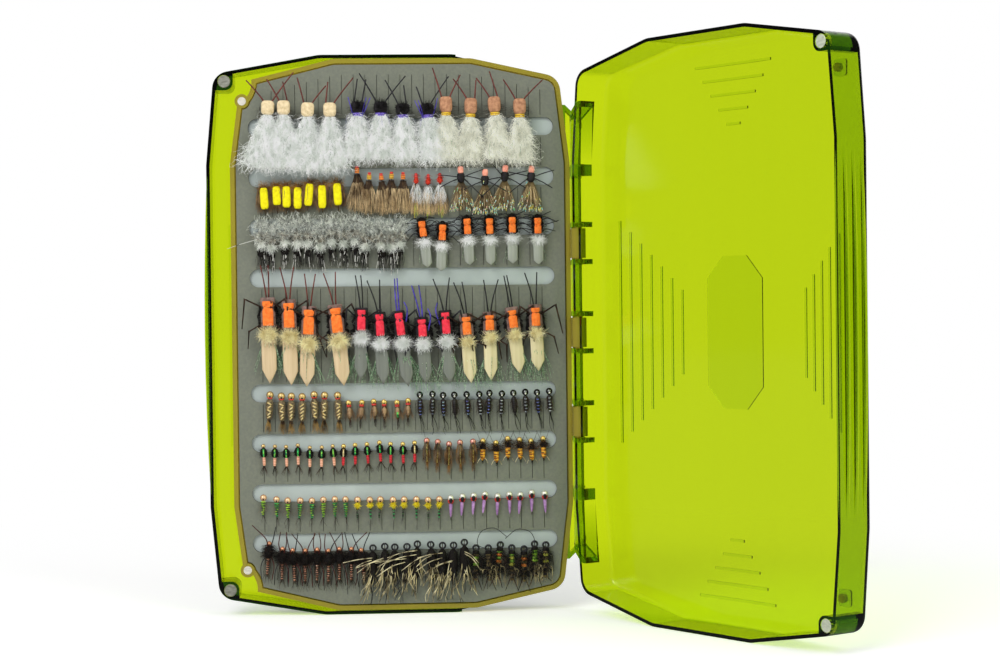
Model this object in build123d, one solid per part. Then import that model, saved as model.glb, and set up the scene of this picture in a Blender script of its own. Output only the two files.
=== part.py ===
from build123d import *
import os
from math import atan2, cos, degrees, pi

os.makedirs("parts", exist_ok=True)

# Fly box, standing on a short end and open like a book. Millimetres.
# Every piece is drawn in the closed box first: X runs from the free side to the
# hinge side, the parting plane is Y = 0 with the base behind it (+Y) and the lid
# in front (-Y), and Z = 0 is mid-height. place_* then stands the box on its end.

# ---- outline of both shells (half sizes, mirrored top to bottom) ----
HALF_H = 104.75            # centre to the flat end the box stands on
HALF_W = 67.5              # centre to the outside of either long side
FLAT_HALF = 25.1           # half the width of each flat end
FREE_CORNER_IN = (3.1, 6.9)    # free-side corner, in from the side and from the end
HINGE_CORNER_IN = (2.9, 8.75)  # hinge-side corner, the same way
SIDE_SHORT = 40.95         # from the end to where the long sides run straight
CORNER_R = 6.5             # rounding of the four corners
SOFT_R = 14.0              # rounding of the shallow bends

# ---- shells ----
WALL = 1.3
FLOOR = 1.5
EDGE_DEPTH = 15.0          # parting plane to the outside of the floor at its sides
CROWN = 4.0                # how far the floor bulges at the middle
BACK_R = 2.6               # rounding round the back of the shell
FLOOR_R = 1.4              # rounding inside, between wall and floor
PARTING_GAP = 0.3          # between the closed rims
LEAF_ROOM = 0.25           # between the leaf and the base's lowered rim
LOWERED_FROM = 41.5        # in from the hinge side, where the base's rim is lowered

# ---- corner magnets ----
MAGNET_IN = (7.0, 9.75)    # magnet centre in from the side and from the end
MAGNET_R = 2.4
MAGNET_T = 2.0
MAGNET_EDGE = 0.25
MAGNET_SINK = 0.1          # magnet face below the rim
POST_REACH = 3.3           # magnet centre to the inner faces of its corner post
POST_R = 3.0

# ---- leaf, which lies in the base's half of the closed box ----
LEAF_T = 5.0
LEAF_WEB = 1.0             # plate between the two foams
LEAF_RIM = 1.7
LEAF_END_IN = 1.55         # its flat ends, in from the shell's
LEAF_FLAT_IN = (47.6, 35.8)    # ends of that flat, in from the free and the hinge side
LEAF_FREE_IN = 8.8         # its free edge, in from the shell's side
LEAF_FREE_CORNER_IN = (12.9, 10.15)
LEAF_HINGE_OUT = 0.9       # its hinge edge, outside the shell's side
LEAF_SOFT_R = 10.0
LEAF_FREE_R = 1.0
NOTCH_R = 10.2             # notch round each corner magnet
LEAF_MAGNET_IN = (13.5, 17.15)
LEAF_MAGNET_R = 1.55
LEAF_BOSS_R = 2.65
KEEPER_GAP = 0.3           # leaf magnet to the keeper magnet under it
KEEPER_T = 1.5
KEEPER_POST_R = 2.6
KEEPER_DRILL = 1.0         # how far the keeper's hole runs out past it

# ---- foam ----
FOAM_FIT = 0.5             # foam to its pocket's wall
FOAM_SINK = 0.2            # foam face below the leaf's rim
TROUGH_H = 6.7
TROUGH_IN = (6.8, 6.1)     # trough ends, in from the leaf's free and hinge edges
TROUGH_FIRST = 21.5        # mid-height to the nearest troughs
TROUGH_PITCH = 18.7
TROUGHS_EACH_WAY = 4
TROUGH_DEPTH = 1.1
SLIT_IN = (11.3, 10.92)    # first and last slits, in from the leaf's free and hinge edges
SLITS = 25
SLIT_W = 0.2
SLIT_DEPTH = 1.2
SLIT_CLEAR = 0.8           # slit end to the nearest trough
SLIT_MARGIN = 3.8          # slit end to the foam's edge

# ---- hinge: the leaf's tabs turn in both shells on round stubs ----
AXIS_OUT = 3.2             # both hinge axes, outside the long side
BASE_AXIS_DEEP = 8.0       # the leaf's axis in the base, from the parting plane
LID_AXIS_DEEP = 5.2        # the lid's axis, from the parting plane
LEDGE_R = 2.6              # ledge round the axis
LEDGE_SLOPE = 1.4          # how much further from the axis the ledge meets the side
LEDGE_IN = 18.75           # ledge ends, in from the shell's end
LEDGE_CHAMFER = 6.0
LEDGE_SKIN = 1.3           # flange along the ledge's top, and the plates that close its ends
TAB_H = 11.0
TAB_PITCH = 33.3
TAB_R = 2.6
WINDOW_H = 12.0
CHEEK_T = 1.9              # housing beside each window, where the stubs turn
RIM_NOTCH = 3.0            # depth of the lid's rim notch over each tab
GUSSET_AT = 60.5
GUSSET_T = 4.2
STUB_R = 1.2
STUB_RUN = 0.05            # radial clearance of the stubs in the ledges
STUB_IN = 1.4              # how far each stub enters its cheek
STUB_END = 0.2             # end clearance of the stubs

# ---- finger ribs on the free side, grip ribs and badge place on the back ----
GRIP_DEPTHS = (3.4, 7.4, 11.4)
GRIP_W = 1.3
GRIP_RISE = 1.5
GRIP_IN = 44.75            # ends of the finger ribs, in from the shell's end
RIB_W = 0.9
RIB_RISE = 0.5
SIDE_RIBS = 7
HINGE_RIBS = (40.5, -5.25, 15.3, 4.33)    # first rib in from the side, step, half length, growth
FREE_RIBS = (31.7, -4.05, 15.3, 4.45)     # the same, from the free side
END_RIBS = 5
END_RIB_ROWS = (31.35, -5.25, 3.4, 3.95)  # first rib in from the end, step, half length, growth
BADGE_W = 28.0
BADGE_H = 54.0
BADGE_CUT = 8.0
BADGE_RISE = 0.4
STUD_IN = (12.3, 17.15)
STUD_R = 1.5
STUD_H = 1.6
PAD = 5.6
PAD_R = 1.0
PAD_H = 0.9

# ---- flies: rows of one head height, each with its patterns side by side ----
FLY_SIDES = 6
FLY_GAP = 0.05             # fly to the foam's face
# name: first slit, how many, slits from one to the next, heads above their row's line
FLY_PATTERNS = {
    "row1_cream_flies": (0, 4, 2, 0.5),
    "row1_black_flies": (8, 4, 2, 0),
    "row1_tan_flies": (16, 4, 2, 1.7),
    "row2_yellow_flies": (0, 7, 1, -1.9),
    "row2_hair_flies": (8, 5, 1, 3.4),
    "row2_white_wing_flies": (13, 3, 1, 2.4),
    "row2_pink_head_flies": (17, 4, 2, 5.2),
    "row3_grizzly_flies": (0, 13, 1, 0),
    "row3_orange_flies": (13.5, 6, 2, 1.0),
    "row4_tan_flies": (0.3, 4, 1.95, 1.0),
    "row4_black_flies": (8.3, 5, 1.85, -1.5),
    "row4_cream_flies": (17.4, 4, 1.95, -1.5),
    "row5_gold_nymphs": (0.5, 7, 0.98, 0),
    "row5_small_nymphs": (7.4, 6, 1, -3.6),
    "row5_black_nymphs": (13.4, 12, 0.98, 0),
    "row6_copper_nymphs": (0, 7, 0.98, 0),
    "row6_red_nymphs": (6.9, 7, 1, 0),
    "row6_brown_nymphs": (13.9, 5, 0.98, 0),
    "row6_orange_nymphs": (18.8, 6, 1, 0),
    "row7_green_nymphs": (0, 8, 1, 0),
    "row7_yellow_nymphs": (8, 8, 1, 0),
    "row7_purple_nymphs": (16, 9, 0.98, 0),
    "row8_stonefly_nymphs": (0.5, 9, 0.98, 0),
    "row8_black_leg_flies": (9.4, 9, 0.97, 0),
    "row8_green_nymphs": (18.2, 7, 0.98, 0),
}
# row: head height above the middle, body length, head radius, tail radius
FLY_ROWS = {
    "row1": (86, 17, 2.6, 1.2),
    "row2": (57, 13, 1.4, 0.8),
    "row3": (41, 13, 1.6, 0.7),
    "row4": (12, 26, 2.4, 1.3),
    "row5": (-21, 13, 1.4, 0.6),
    "row6": (-40, 13, 1.4, 0.6),
    "row7": (-60, 12, 1.3, 0.6),
    "row8": (-78, 15, 1.6, 0.7),
}

# ---- pose and place ----
OPEN_ANGLE = 124.0         # lid from closed, about its own axis
FACE_BEHIND = 8.0          # parting plane to the origin, which lies on the standing face
PAST = 1.0                 # how far a cutting body runs past what it cuts

RIM_Y = PARTING_GAP / 2
AXIS_X = HALF_W + AXIS_OUT
LEAF_BACK = RIM_Y + LEAF_T
LEAF_MID = RIM_Y + LEAF_T / 2
FOAM_FACE = RIM_Y + FOAM_SINK
LEAF_FREE_X = -HALF_W + LEAF_FREE_IN
LEAF_HINGE_X = HALF_W + LEAF_HINGE_OUT
SIDE_HALF = HALF_H - SIDE_SHORT
HINGE_CORNER = (HALF_W - HINGE_CORNER_IN[0], HALF_H - HINGE_CORNER_IN[1])
MAGNET_AT = (-HALF_W + MAGNET_IN[0], HALF_H - MAGNET_IN[1])
LEAF_MAGNET_AT = (-HALF_W + LEAF_MAGNET_IN[0], HALF_H - LEAF_MAGNET_IN[1])
STUD_AT = (-HALF_W + STUD_IN[0], HALF_H - STUD_IN[1])
LEDGE_HALF = HALF_H - LEDGE_IN
CROWN_R = (HALF_W**2 + CROWN**2) / (2 * CROWN)
FULL_DEPTH = EDGE_DEPTH + CROWN
TAB_Z = [i * TAB_PITCH for i in (-1, 0, 1)]


def both(z):
    return (z, -z)


def prism(face, y0, y1):
    """Extrude a face drawn in X and Z between two depths."""
    return Pos(0, y1, 0) * extrude(face, y1 - y0)


def block(x0, x1, y0, y1, z0, z1):
    return Pos((x0 + x1) / 2, (y0 + y1) / 2, (z0 + z1) / 2) * Box(x1 - x0, y1 - y0, z1 - z0)


def disc(x, z, radius):
    return Plane.XZ * Pos(x, z) * Circle(radius)


def round_outline(points, radii):
    """A closed face in the XZ plane with each corner rounded by its own radius."""
    face = Plane.XZ * make_face(Polyline(*points, close=True))
    for radius in sorted(set(radii)):
        spots = [p for p, r in zip(points, radii) if r == radius]
        near = [v for v in face.vertices()
                if any(abs(v.X - x) + abs(v.Z - z) < 0.01 for x, z in spots)]
        face = fillet(near, radius)
    return face


def mirrored(upper):
    """Upper half of an outline, left to right, followed by its mirror image."""
    return upper + [(x, -z) for x, z in reversed(upper)]


def shell_outline():
    free_corner = (-HALF_W + FREE_CORNER_IN[0], HALF_H - FREE_CORNER_IN[1])
    upper = [(-HALF_W, SIDE_HALF), free_corner, (-FLAT_HALF, HALF_H),
             (FLAT_HALF, HALF_H), HINGE_CORNER, (HALF_W, SIDE_HALF)]
    radii = [SOFT_R, CORNER_R, SOFT_R, SOFT_R, CORNER_R, SOFT_R]
    return round_outline(mirrored(upper), radii + radii[::-1])


def inset(face, amount):
    return offset(face, -amount, kind=Kind.INTERSECTION)


def crown(depth):
    """Everything in front of the crowned back, at this depth in the middle."""
    return Pos(0, depth - CROWN_R, 0) * Cylinder(CROWN_R, 3 * HALF_H)


def back_edges(solid, deeper_than):
    return [e for e in solid.edges() if min(v.Y for v in e.vertices()) > deeper_than]


def ledge(axis_deep):
    """Bar along the hinge side round the axis, its ends cut back at 45 degrees."""
    root = HINGE_CORNER[0] - WALL
    top, foot = axis_deep - LEDGE_R, axis_deep + LEDGE_R + LEDGE_SLOPE
    profile = make_hull([
        *(Pos(AXIS_X, axis_deep) * Circle(LEDGE_R)).edges(),
        Line((root, top), (root, foot)),
        Line((HALF_W, top), (HALF_W, foot)),
    ])
    bar = Pos(0, 0, -LEDGE_HALF) * extrude(profile, 2 * LEDGE_HALF)
    near, far = AXIS_X + LEDGE_R - LEDGE_CHAMFER, AXIS_X + LEDGE_R + PAST
    for s in (1, -1):
        cut = Plane.XZ * make_face(Polyline(
            (near, s * LEDGE_HALF), (far, s * (LEDGE_HALF - (far - near))),
            (far, s * (LEDGE_HALF + PAST)), (near, s * (LEDGE_HALF + PAST)), close=True))
        bar -= prism(cut, 0, FULL_DEPTH)
    return bar


def ledge_hollows(axis_deep):
    """The space under the ledge's flange, open outwards, between housings, gussets and ends."""
    near, far = HALF_W, AXIS_X + LEDGE_R + PAST
    half = LEDGE_HALF - LEDGE_SKIN * 2**0.5 - (near - (AXIS_X + LEDGE_R - LEDGE_CHAMFER))
    face = Plane.XZ * make_face(Polyline(
        (near, half), (far, half - (far - near)), (far, far - near - half), (near, -half), close=True))
    space = prism(face, axis_deep - LEDGE_R + LEDGE_SKIN, FULL_DEPTH)
    edges = [(z, WINDOW_H / 2 + CHEEK_T) for z in TAB_Z] + [(z, GUSSET_T / 2) for z in both(GUSSET_AT)]
    for z, reach in edges:
        space -= block(0, 2 * HALF_W, 0, FULL_DEPTH + PAST, z - reach, z + reach)
    return space


def back_ribs():
    """Thin ribs standing proud of the crowned back, and a plain badge place in the middle."""
    bars = []
    for i in range(SIDE_RIBS):
        for s, (first, step, half, grow) in ((1, HINGE_RIBS), (-1, FREE_RIBS)):
            x, reach = s * (HALF_W - first - i * step), half + i * grow
            bars.append(block(x - RIB_W / 2, x + RIB_W / 2, 0, 2 * FULL_DEPTH, -reach, reach))
    first, step, half, grow = END_RIB_ROWS
    for i in range(END_RIBS):
        for s in (1, -1):
            z, reach = s * (HALF_H - first - i * step), half + i * grow
            bars.append(block(-reach, reach, 0, 2 * FULL_DEPTH, z - RIB_W / 2, z + RIB_W / 2))
    badge = Plane.XZ * chamfer(Rectangle(BADGE_W, BADGE_H).vertices(), BADGE_CUT)
    under = crown(FULL_DEPTH - FLOOR / 2)
    ribs = (Compound(bars) & crown(FULL_DEPTH + RIB_RISE)) - under
    return ribs + ((prism(badge, 0, 2 * FULL_DEPTH) & crown(FULL_DEPTH + BADGE_RISE)) - under)


def finger_ribs():
    """Three low bowed ribs along the free side."""
    half = HALF_H - GRIP_IN
    radius = (half**2 + GRIP_RISE**2) / (2 * GRIP_RISE)
    bow = Plane.XZ * (Pos(-HALF_W - GRIP_RISE + radius, 0) * Circle(radius)
                      & Pos(-HALF_W - GRIP_RISE / 2, 0) * Rectangle(GRIP_RISE + WALL, 2 * half))
    return [prism(bow, y - GRIP_W / 2, y + GRIP_W / 2) for y in GRIP_DEPTHS]


def corner_posts(outer):
    """Solid corners that hold the magnets, their inner corner rounded."""
    x, z = MAGNET_AT
    for s in (1, -1):
        post = Plane.XZ * Pos(x - HALF_W + POST_REACH, s * (z + HALF_H - POST_REACH)) * \
            RectangleRounded(2 * HALF_W, 2 * HALF_H, POST_R)
        yield prism(post, RIM_Y, FULL_DEPTH) & outer


def shell(axis_deep, inside):
    """One shell: tray, corner posts, ledge with its windows, and ribs."""
    face = shell_outline()
    outer = prism(face, RIM_Y, FULL_DEPTH + PAST) & crown(FULL_DEPTH)
    outer = fillet(back_edges(outer, EDGE_DEPTH - WALL), BACK_R)
    cavity = prism(inset(face, WALL), -PAST, FULL_DEPTH + PAST) & crown(FULL_DEPTH - FLOOR)
    cavity = fillet(back_edges(cavity, EDGE_DEPTH - FLOOR - WALL), FLOOR_R)
    body = (outer + ledge(axis_deep)) - cavity - ledge_hollows(axis_deep)
    for piece in (*corner_posts(outer), *inside, *finger_ribs()):
        body += piece
    body += back_ribs()
    foot = axis_deep + LEDGE_R + LEDGE_SLOPE + PAST
    for z in TAB_Z:
        body -= block(HALF_W, AXIS_X + LEDGE_R + PAST, 0, foot, z - WINDOW_H / 2, z + WINDOW_H / 2)
        body -= Pos(AXIS_X, axis_deep, z) * Cylinder(STUB_R + STUB_RUN, WINDOW_H + 2 * (STUB_IN + STUB_END))
    for z in both(MAGNET_AT[1]):
        body -= prism(disc(MAGNET_AT[0], z, MAGNET_R), 0, RIM_Y + MAGNET_SINK + MAGNET_T)
    return body


def base_shell():
    """The base's rim is lowered on the hinge side, where the leaf lies over it."""
    body = shell(BASE_AXIS_DEEP, keeper_posts())
    return body - block(HALF_W - LOWERED_FROM, AXIS_X + LEDGE_R + PAST, 0, LEAF_BACK + LEAF_ROOM,
                        -HALF_H - PAST, HALF_H + PAST)


def lid_shell():
    """The lid's rim is notched over each of the leaf's tabs."""
    body = shell(LID_AXIS_DEEP, stud_pads())
    for z in TAB_Z:
        body -= block(HALF_W - 2 * WALL, AXIS_X, 0, RIM_NOTCH, z - WINDOW_H / 2, z + WINDOW_H / 2)
    return body


def corner_magnets():
    face = RIM_Y + MAGNET_SINK
    plugs = [prism(disc(MAGNET_AT[0], z, MAGNET_R), face, face + MAGNET_T) for z in both(MAGNET_AT[1])]
    return Compound([chamfer(p.edges().group_by(Axis.Y)[0], MAGNET_EDGE) for p in plugs])


def keeper_face():
    return LEAF_BACK + KEEPER_GAP


def keeper_posts():
    """Posts on the base's floor, drilled for the keeper magnets under the leaf's magnets."""
    posts = []
    for z in both(LEAF_MAGNET_AT[1]):
        post = prism(disc(LEAF_MAGNET_AT[0], z, KEEPER_POST_R), keeper_face(), FULL_DEPTH)
        seat = prism(disc(LEAF_MAGNET_AT[0], z, LEAF_MAGNET_R), keeper_face() - KEEPER_DRILL,
                     keeper_face() + KEEPER_T)
        posts.append((post & crown(FULL_DEPTH - FLOOR / 2)) - seat)
    return posts


def keeper_magnets():
    return Compound([prism(disc(LEAF_MAGNET_AT[0], z, LEAF_MAGNET_R), keeper_face(),
                           keeper_face() + KEEPER_T) for z in both(LEAF_MAGNET_AT[1])])


def stud_floor():
    """Depth of the lid's inner floor at its studs."""
    inner_r = CROWN_R - FLOOR
    return FULL_DEPTH - CROWN_R + (inner_r**2 - STUD_AT[0]**2) ** 0.5


def stud_pads():
    return [prism(Plane.XZ * Pos(STUD_AT[0], z) * RectangleRounded(PAD, PAD, PAD_R),
                  stud_floor() - PAD_H, stud_floor() + FLOOR / 2) for z in both(STUD_AT[1])]


def floor_studs():
    top = stud_floor() - PAD_H
    return Compound([prism(disc(STUD_AT[0], z, STUD_R), top - STUD_H, top) for z in both(STUD_AT[1])])


def leaf_outline():
    end = HALF_H - LEAF_END_IN
    free_corner = (-HALF_W + LEAF_FREE_CORNER_IN[0], HALF_H - LEAF_FREE_CORNER_IN[1])
    upper = [(LEAF_FREE_X, SIDE_HALF), free_corner, (-HALF_W + LEAF_FLAT_IN[0], end),
             (HALF_W - LEAF_FLAT_IN[1], end), HINGE_CORNER, (LEAF_HINGE_X, SIDE_HALF)]
    radii = [LEAF_SOFT_R, LEAF_FREE_R, LEAF_SOFT_R, LEAF_SOFT_R, CORNER_R, LEAF_SOFT_R]
    face = round_outline(mirrored(upper), radii + radii[::-1])
    for z in both(MAGNET_AT[1]):
        face -= disc(MAGNET_AT[0], z, NOTCH_R)
    return face


def foam_outline(gap):
    face = inset(leaf_outline(), LEAF_RIM + gap)
    for z in both(LEAF_MAGNET_AT[1]):
        face -= disc(LEAF_MAGNET_AT[0], z, LEAF_BOSS_R + gap)
    return face


def leaf_tab():
    """Tab with a round stub at each end of both hinge axes."""
    axes = [(AXIS_X, BASE_AXIS_DEEP), (AXIS_X, -LID_AXIS_DEEP)]
    web = make_hull([edge for at in axes for edge in (Pos(*at) * Circle(TAB_R)).edges()])
    tab = Pos(0, 0, -TAB_H / 2) * extrude(web, TAB_H)
    tab += block(LEAF_HINGE_X - LEAF_RIM, AXIS_X, RIM_Y, LEAF_BACK, -TAB_H / 2, TAB_H / 2)
    for x, y in axes:
        tab += Pos(x, y, 0) * Cylinder(STUB_R, WINDOW_H + 2 * STUB_IN)
    return tab


def leaf_frame():
    """Leaf with a foam pocket on each face, magnet bosses and three hinge tabs."""
    body = prism(leaf_outline(), RIM_Y, LEAF_BACK)
    for y0, y1 in ((0, LEAF_MID - LEAF_WEB / 2), (LEAF_MID + LEAF_WEB / 2, LEAF_BACK + PAST)):
        body -= prism(foam_outline(0), y0, y1)
    for z in TAB_Z:
        body += Pos(0, 0, z) * leaf_tab()
    for z in both(LEAF_MAGNET_AT[1]):
        body += prism(disc(LEAF_MAGNET_AT[0], z, LEAF_BOSS_R), RIM_Y, LEAF_BACK)
        body -= prism(disc(LEAF_MAGNET_AT[0], z, LEAF_MAGNET_R), 0, LEAF_BACK + PAST)
    return body


def leaf_magnets():
    return Compound([prism(disc(LEAF_MAGNET_AT[0], z, LEAF_MAGNET_R), RIM_Y, LEAF_BACK)
                     for z in both(LEAF_MAGNET_AT[1])])


def trough_heights():
    return [s * (TROUGH_FIRST + i * TROUGH_PITCH) for s in (1, -1) for i in range(TROUGHS_EACH_WAY)]


def slit_bands():
    """Z ranges of the slits: beyond the outer troughs, between troughs, and down the middle."""
    edge = TROUGH_H / 2 + SLIT_CLEAR
    z = sorted(trough_heights())
    bands = [(-HALF_H, z[0] - edge)]
    bands += [(a + edge, b - edge) for a, b in zip(z, z[1:])]
    return bands + [(z[-1] + edge, HALF_H)]


def slit_x(number):
    first, last = LEAF_FREE_X + SLIT_IN[0], LEAF_HINGE_X - SLIT_IN[1]
    return first + number * (last - first) / (SLITS - 1)


def plain_foam():
    """Foam sheet with troughs for the hooks' barbs, as it lies in the leaf's front."""
    sheet = prism(foam_outline(FOAM_FIT), FOAM_FACE, LEAF_MID - LEAF_WEB / 2)
    x0, x1 = LEAF_FREE_X + TROUGH_IN[0], LEAF_HINGE_X - TROUGH_IN[1]
    for z in trough_heights():
        slot = Plane.XZ * Pos((x0 + x1) / 2, z) * SlotOverall(x1 - x0, TROUGH_H)
        sheet -= prism(slot, 0, FOAM_FACE + TROUGH_DEPTH)
    return sheet


def front_foam():
    """The front foam has slits that grip the hooks' bends, ending short of its edge."""
    cuts = [block(x - SLIT_W / 2, x + SLIT_W / 2, 0, FOAM_FACE + SLIT_DEPTH, z0, z1)
            for z0, z1 in slit_bands() for x in map(slit_x, range(SLITS))]
    inner = prism(foam_outline(FOAM_FIT + SLIT_MARGIN), 0, LEAF_MID)
    return plain_foam() - (Compound(cuts) & inner)


def back_foam():
    return mirror(plain_foam(), about=Plane.XZ.offset(-LEAF_MID))


def fly(x, z, length, head, tail):
    """One dressed hook lying along the foam, head up, as a tapered six-sided body."""
    across = cos(pi / FLY_SIDES)
    lean = degrees(atan2((head - tail) * across, length))
    body = extrude(RegularPolygon(head, FLY_SIDES), -length, taper=lean)
    low = FOAM_FACE - FLY_GAP - head * across
    return Pos(x, low, z) * Rot(-lean, 0, 0) * body


def fly_pattern(name):
    first, count, step, rise = FLY_PATTERNS[name]
    z, length, head, tail = FLY_ROWS[name[:4]]
    return Compound([fly(slit_x(first + i * step), z + rise, length, head, tail) for i in range(count)])


def stand(piece):
    """Stand the closed box on its end, with the origin on the standing face."""
    return Pos(0, -FACE_BEHIND, HALF_H) * piece


def as_lid(piece):
    """Mirror a piece to the lid's side and open it about the lid's axis."""
    lid_side = mirror(piece, about=Plane.XZ)
    return stand(lid_side.rotate(Axis((AXIS_X, -LID_AXIS_DEEP, 0), (0, 0, 1)), OPEN_ANGLE))


nodes = {
    "base_shell": stand(base_shell()),
    "base_corner_magnets": stand(corner_magnets()),
    "base_keeper_magnets": stand(keeper_magnets()),
    "leaf_frame": stand(leaf_frame()),
    "leaf_magnets": stand(leaf_magnets()),
    "front_foam": stand(front_foam()),
    "back_foam": stand(back_foam()),
    "lid_shell": as_lid(lid_shell()),
    "lid_corner_magnets": as_lid(corner_magnets()),
    "lid_floor_studs": as_lid(floor_studs()),
}
for pattern in FLY_PATTERNS:
    nodes[pattern] = stand(fly_pattern(pattern))

for name, piece in nodes.items():
    piece.label = name
    export_step(piece, f"parts/{name}.step")
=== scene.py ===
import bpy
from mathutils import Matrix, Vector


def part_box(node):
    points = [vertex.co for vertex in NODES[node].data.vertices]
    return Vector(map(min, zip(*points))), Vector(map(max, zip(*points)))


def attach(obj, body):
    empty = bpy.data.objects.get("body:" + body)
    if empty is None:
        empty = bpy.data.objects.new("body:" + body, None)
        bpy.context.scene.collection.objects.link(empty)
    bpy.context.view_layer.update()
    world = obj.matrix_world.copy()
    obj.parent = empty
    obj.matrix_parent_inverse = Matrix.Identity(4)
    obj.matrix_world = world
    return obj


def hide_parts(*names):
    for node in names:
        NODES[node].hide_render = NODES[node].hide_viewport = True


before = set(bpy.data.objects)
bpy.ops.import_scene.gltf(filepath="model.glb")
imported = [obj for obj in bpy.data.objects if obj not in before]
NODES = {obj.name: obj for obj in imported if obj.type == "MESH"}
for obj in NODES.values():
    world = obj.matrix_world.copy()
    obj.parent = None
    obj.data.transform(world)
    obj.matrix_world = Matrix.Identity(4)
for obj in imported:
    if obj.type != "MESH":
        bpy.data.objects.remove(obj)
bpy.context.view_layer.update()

import copy
import math

import bpy
import numpy as np
from mathutils import Matrix, Vector

# Metres, z up, the open box faces -y. The flies are worked out in millimetres.
MM = 0.001

FOAM_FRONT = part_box("front_foam")[0][1] / MM
FOAM_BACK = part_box("back_foam")[1][1] / MM
FOAM_MIDDLE = (FOAM_FRONT + FOAM_BACK) / 2
TROUGH_DEPTH = 1.1
TROUGH_BOTTOM = FOAM_MIDDLE - FOAM_FRONT - TROUGH_DEPTH     # from the middle of the leaf
BOTTOM_ABOVE, BOTTOM_BELOW = 0.3, 0.05      # what still counts as a trough's bottom, either side of it
FLAT_FROM = 0.9            # share of a normal along y from which foam counts as a flat face; the other faces get painted shade
WAVE_TURN = 6.2832         # a wave texture's scale for one turn a metre

# The photo's camera, in metres, fitted to key points of the box in the photo by least squares,
# and the photo's frame in pixels
CAMERA_AT = Vector((-0.00518, -0.82468, 0.11559))
CAMERA_LOOKS = Vector((0.05701, 0.99828, -0.01345))
CAMERA_RIGHT = Vector((0.99830, -0.05717, -0.01144))
CAMERA_UP = CAMERA_RIGHT.cross(CAMERA_LOOKS)
LENS_MM = 78.38
SENSOR_MM = 36
PHOTO_W, PHOTO_H = 1000, 667

# Flies, in mm
STATIONS = 13              # points along a body or a wool wing
LEAN = 0.045               # spread of how far the flies lean, in radians
LOWEST = 0.12              # lowest fibre, off the foam
FIRST_SEED = 100

# Floor and light. The lights' place and size are in metres, and their strength in watts.
FLOOR_R = 4.0              # metres
FLOOR_DROP = 0.1           # mm under the box
FLOOR_WHITE = 0.95
FLOOR_LIFT = 0.3           # added to the floor's own brightness by the box
FLOOR_NEAR, FLOOR_FAR = 0.12, 0.4           # metres from the box where pure white starts and is full
DIM_FLOOR = 0.15           # the floor, as gloss sees it
EVEN_LIGHT = 0.47
DIM_ROOM = 0.06            # the room round the box, as gloss sees it
WALL_FROM, WALL_FULL = 0.4, 0.8             # share along y where the white wall starts and is full
LIGHTS_AIM = (0, 0, 0.1)


# ---- materials -------------------------------------------------------------------

class Shader:
    """A node tree with short ways to add and join nodes."""

    def __init__(self, tree, output="ShaderNodeOutputMaterial"):
        self.tree = tree
        self.tree.nodes.clear()
        self.out = self.add(output)

    def add(self, kind, values=None, links=None, **settings):
        node = self.tree.nodes.new(kind)
        for key, value in settings.items():
            setattr(node, key, value)
        for key, value in (values or {}).items():
            node.inputs[key].default_value = value
        for key, source in (links or {}).items():
            self.join(source, node.inputs[key])
        return node

    def join(self, source, target):
        self.tree.links.new(source, target)

    def maths(self, operation, *terms):
        node = self.add("ShaderNodeMath", operation=operation)
        for slot, term in zip(node.inputs, terms):
            if isinstance(term, (int, float)):
                slot.default_value = term
            else:
                self.join(term, slot)
        return node.outputs[0]

    def coordinates(self, stretch=(1, 1, 1)):
        """A piece's own place in the row frame, in metres, stretched."""
        place = self.add("ShaderNodeTexCoord")
        scale = self.add("ShaderNodeMapping", {"Scale": stretch}, {"Vector": place.outputs["Object"]})
        return scale.outputs["Vector"]

    def along(self, axis):
        """The piece's own place along one axis."""
        return self.add("ShaderNodeSeparateXYZ", links={"Vector": self.coordinates()}).outputs[axis]

    def noise(self, scale, detail=3, stretch=(1, 1, 1)):
        values = {"Scale": scale, "Detail": detail}
        texture = self.add("ShaderNodeTexNoise", values, {"Vector": self.coordinates(stretch)})
        return texture.outputs["Fac"]

    def ramp(self, factor, stops, steps=False):
        node = self.add("ShaderNodeValToRGB", links={"Fac": factor})
        if steps:
            node.color_ramp.interpolation = "CONSTANT"
        spots = node.color_ramp.elements
        while len(spots) < len(stops):
            spots.new(0.5)
        for spot, (at, colour) in zip(spots, stops):
            spot.position, spot.color = at, (*colour, 1)
        return node.outputs["Color"]

    def blend(self, factor, dark, light, low=0.3, high=0.7):
        """Two colours, given as hex codes, with a soft step between them."""
        return self.ramp(factor, [(low, srgb(dark)), (high, srgb(light))])

    def bump(self, height, strength, distance):
        values = {"Strength": strength, "Distance": distance}
        return self.add("ShaderNodeBump", values, {"Height": height}).outputs["Normal"]

    def principled(self, values, colour=None, normal=None):
        links = {"Base Color": colour, "Normal": normal}
        links = {key: source for key, source in links.items() if source is not None}
        return self.add("ShaderNodeBsdfPrincipled", values, links).outputs["BSDF"]

    def mixed(self, share, first, second):
        return self.add("ShaderNodeMixShader", links={0: share, 1: first, 2: second}).outputs[0]

    def surface(self, shader):
        self.join(shader, self.out.inputs["Surface"])

    def plain(self, roughness, specular, colour, normal=None):
        values = {"Roughness": roughness, "Specular IOR Level": specular}
        self.surface(self.principled(values, colour, normal))


def srgb(code):
    """Linear colour of a hex code."""
    parts = [int(code[i:i + 2], 16) / 255 for i in (0, 2, 4)]
    return tuple(c / 12.92 if c < 0.04045 else ((c + 0.055) / 1.055) ** 2.4 for c in parts)


def new_material(name):
    material = bpy.data.materials.new(name)
    material.use_nodes = True
    return material, Shader(material.node_tree)


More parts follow.
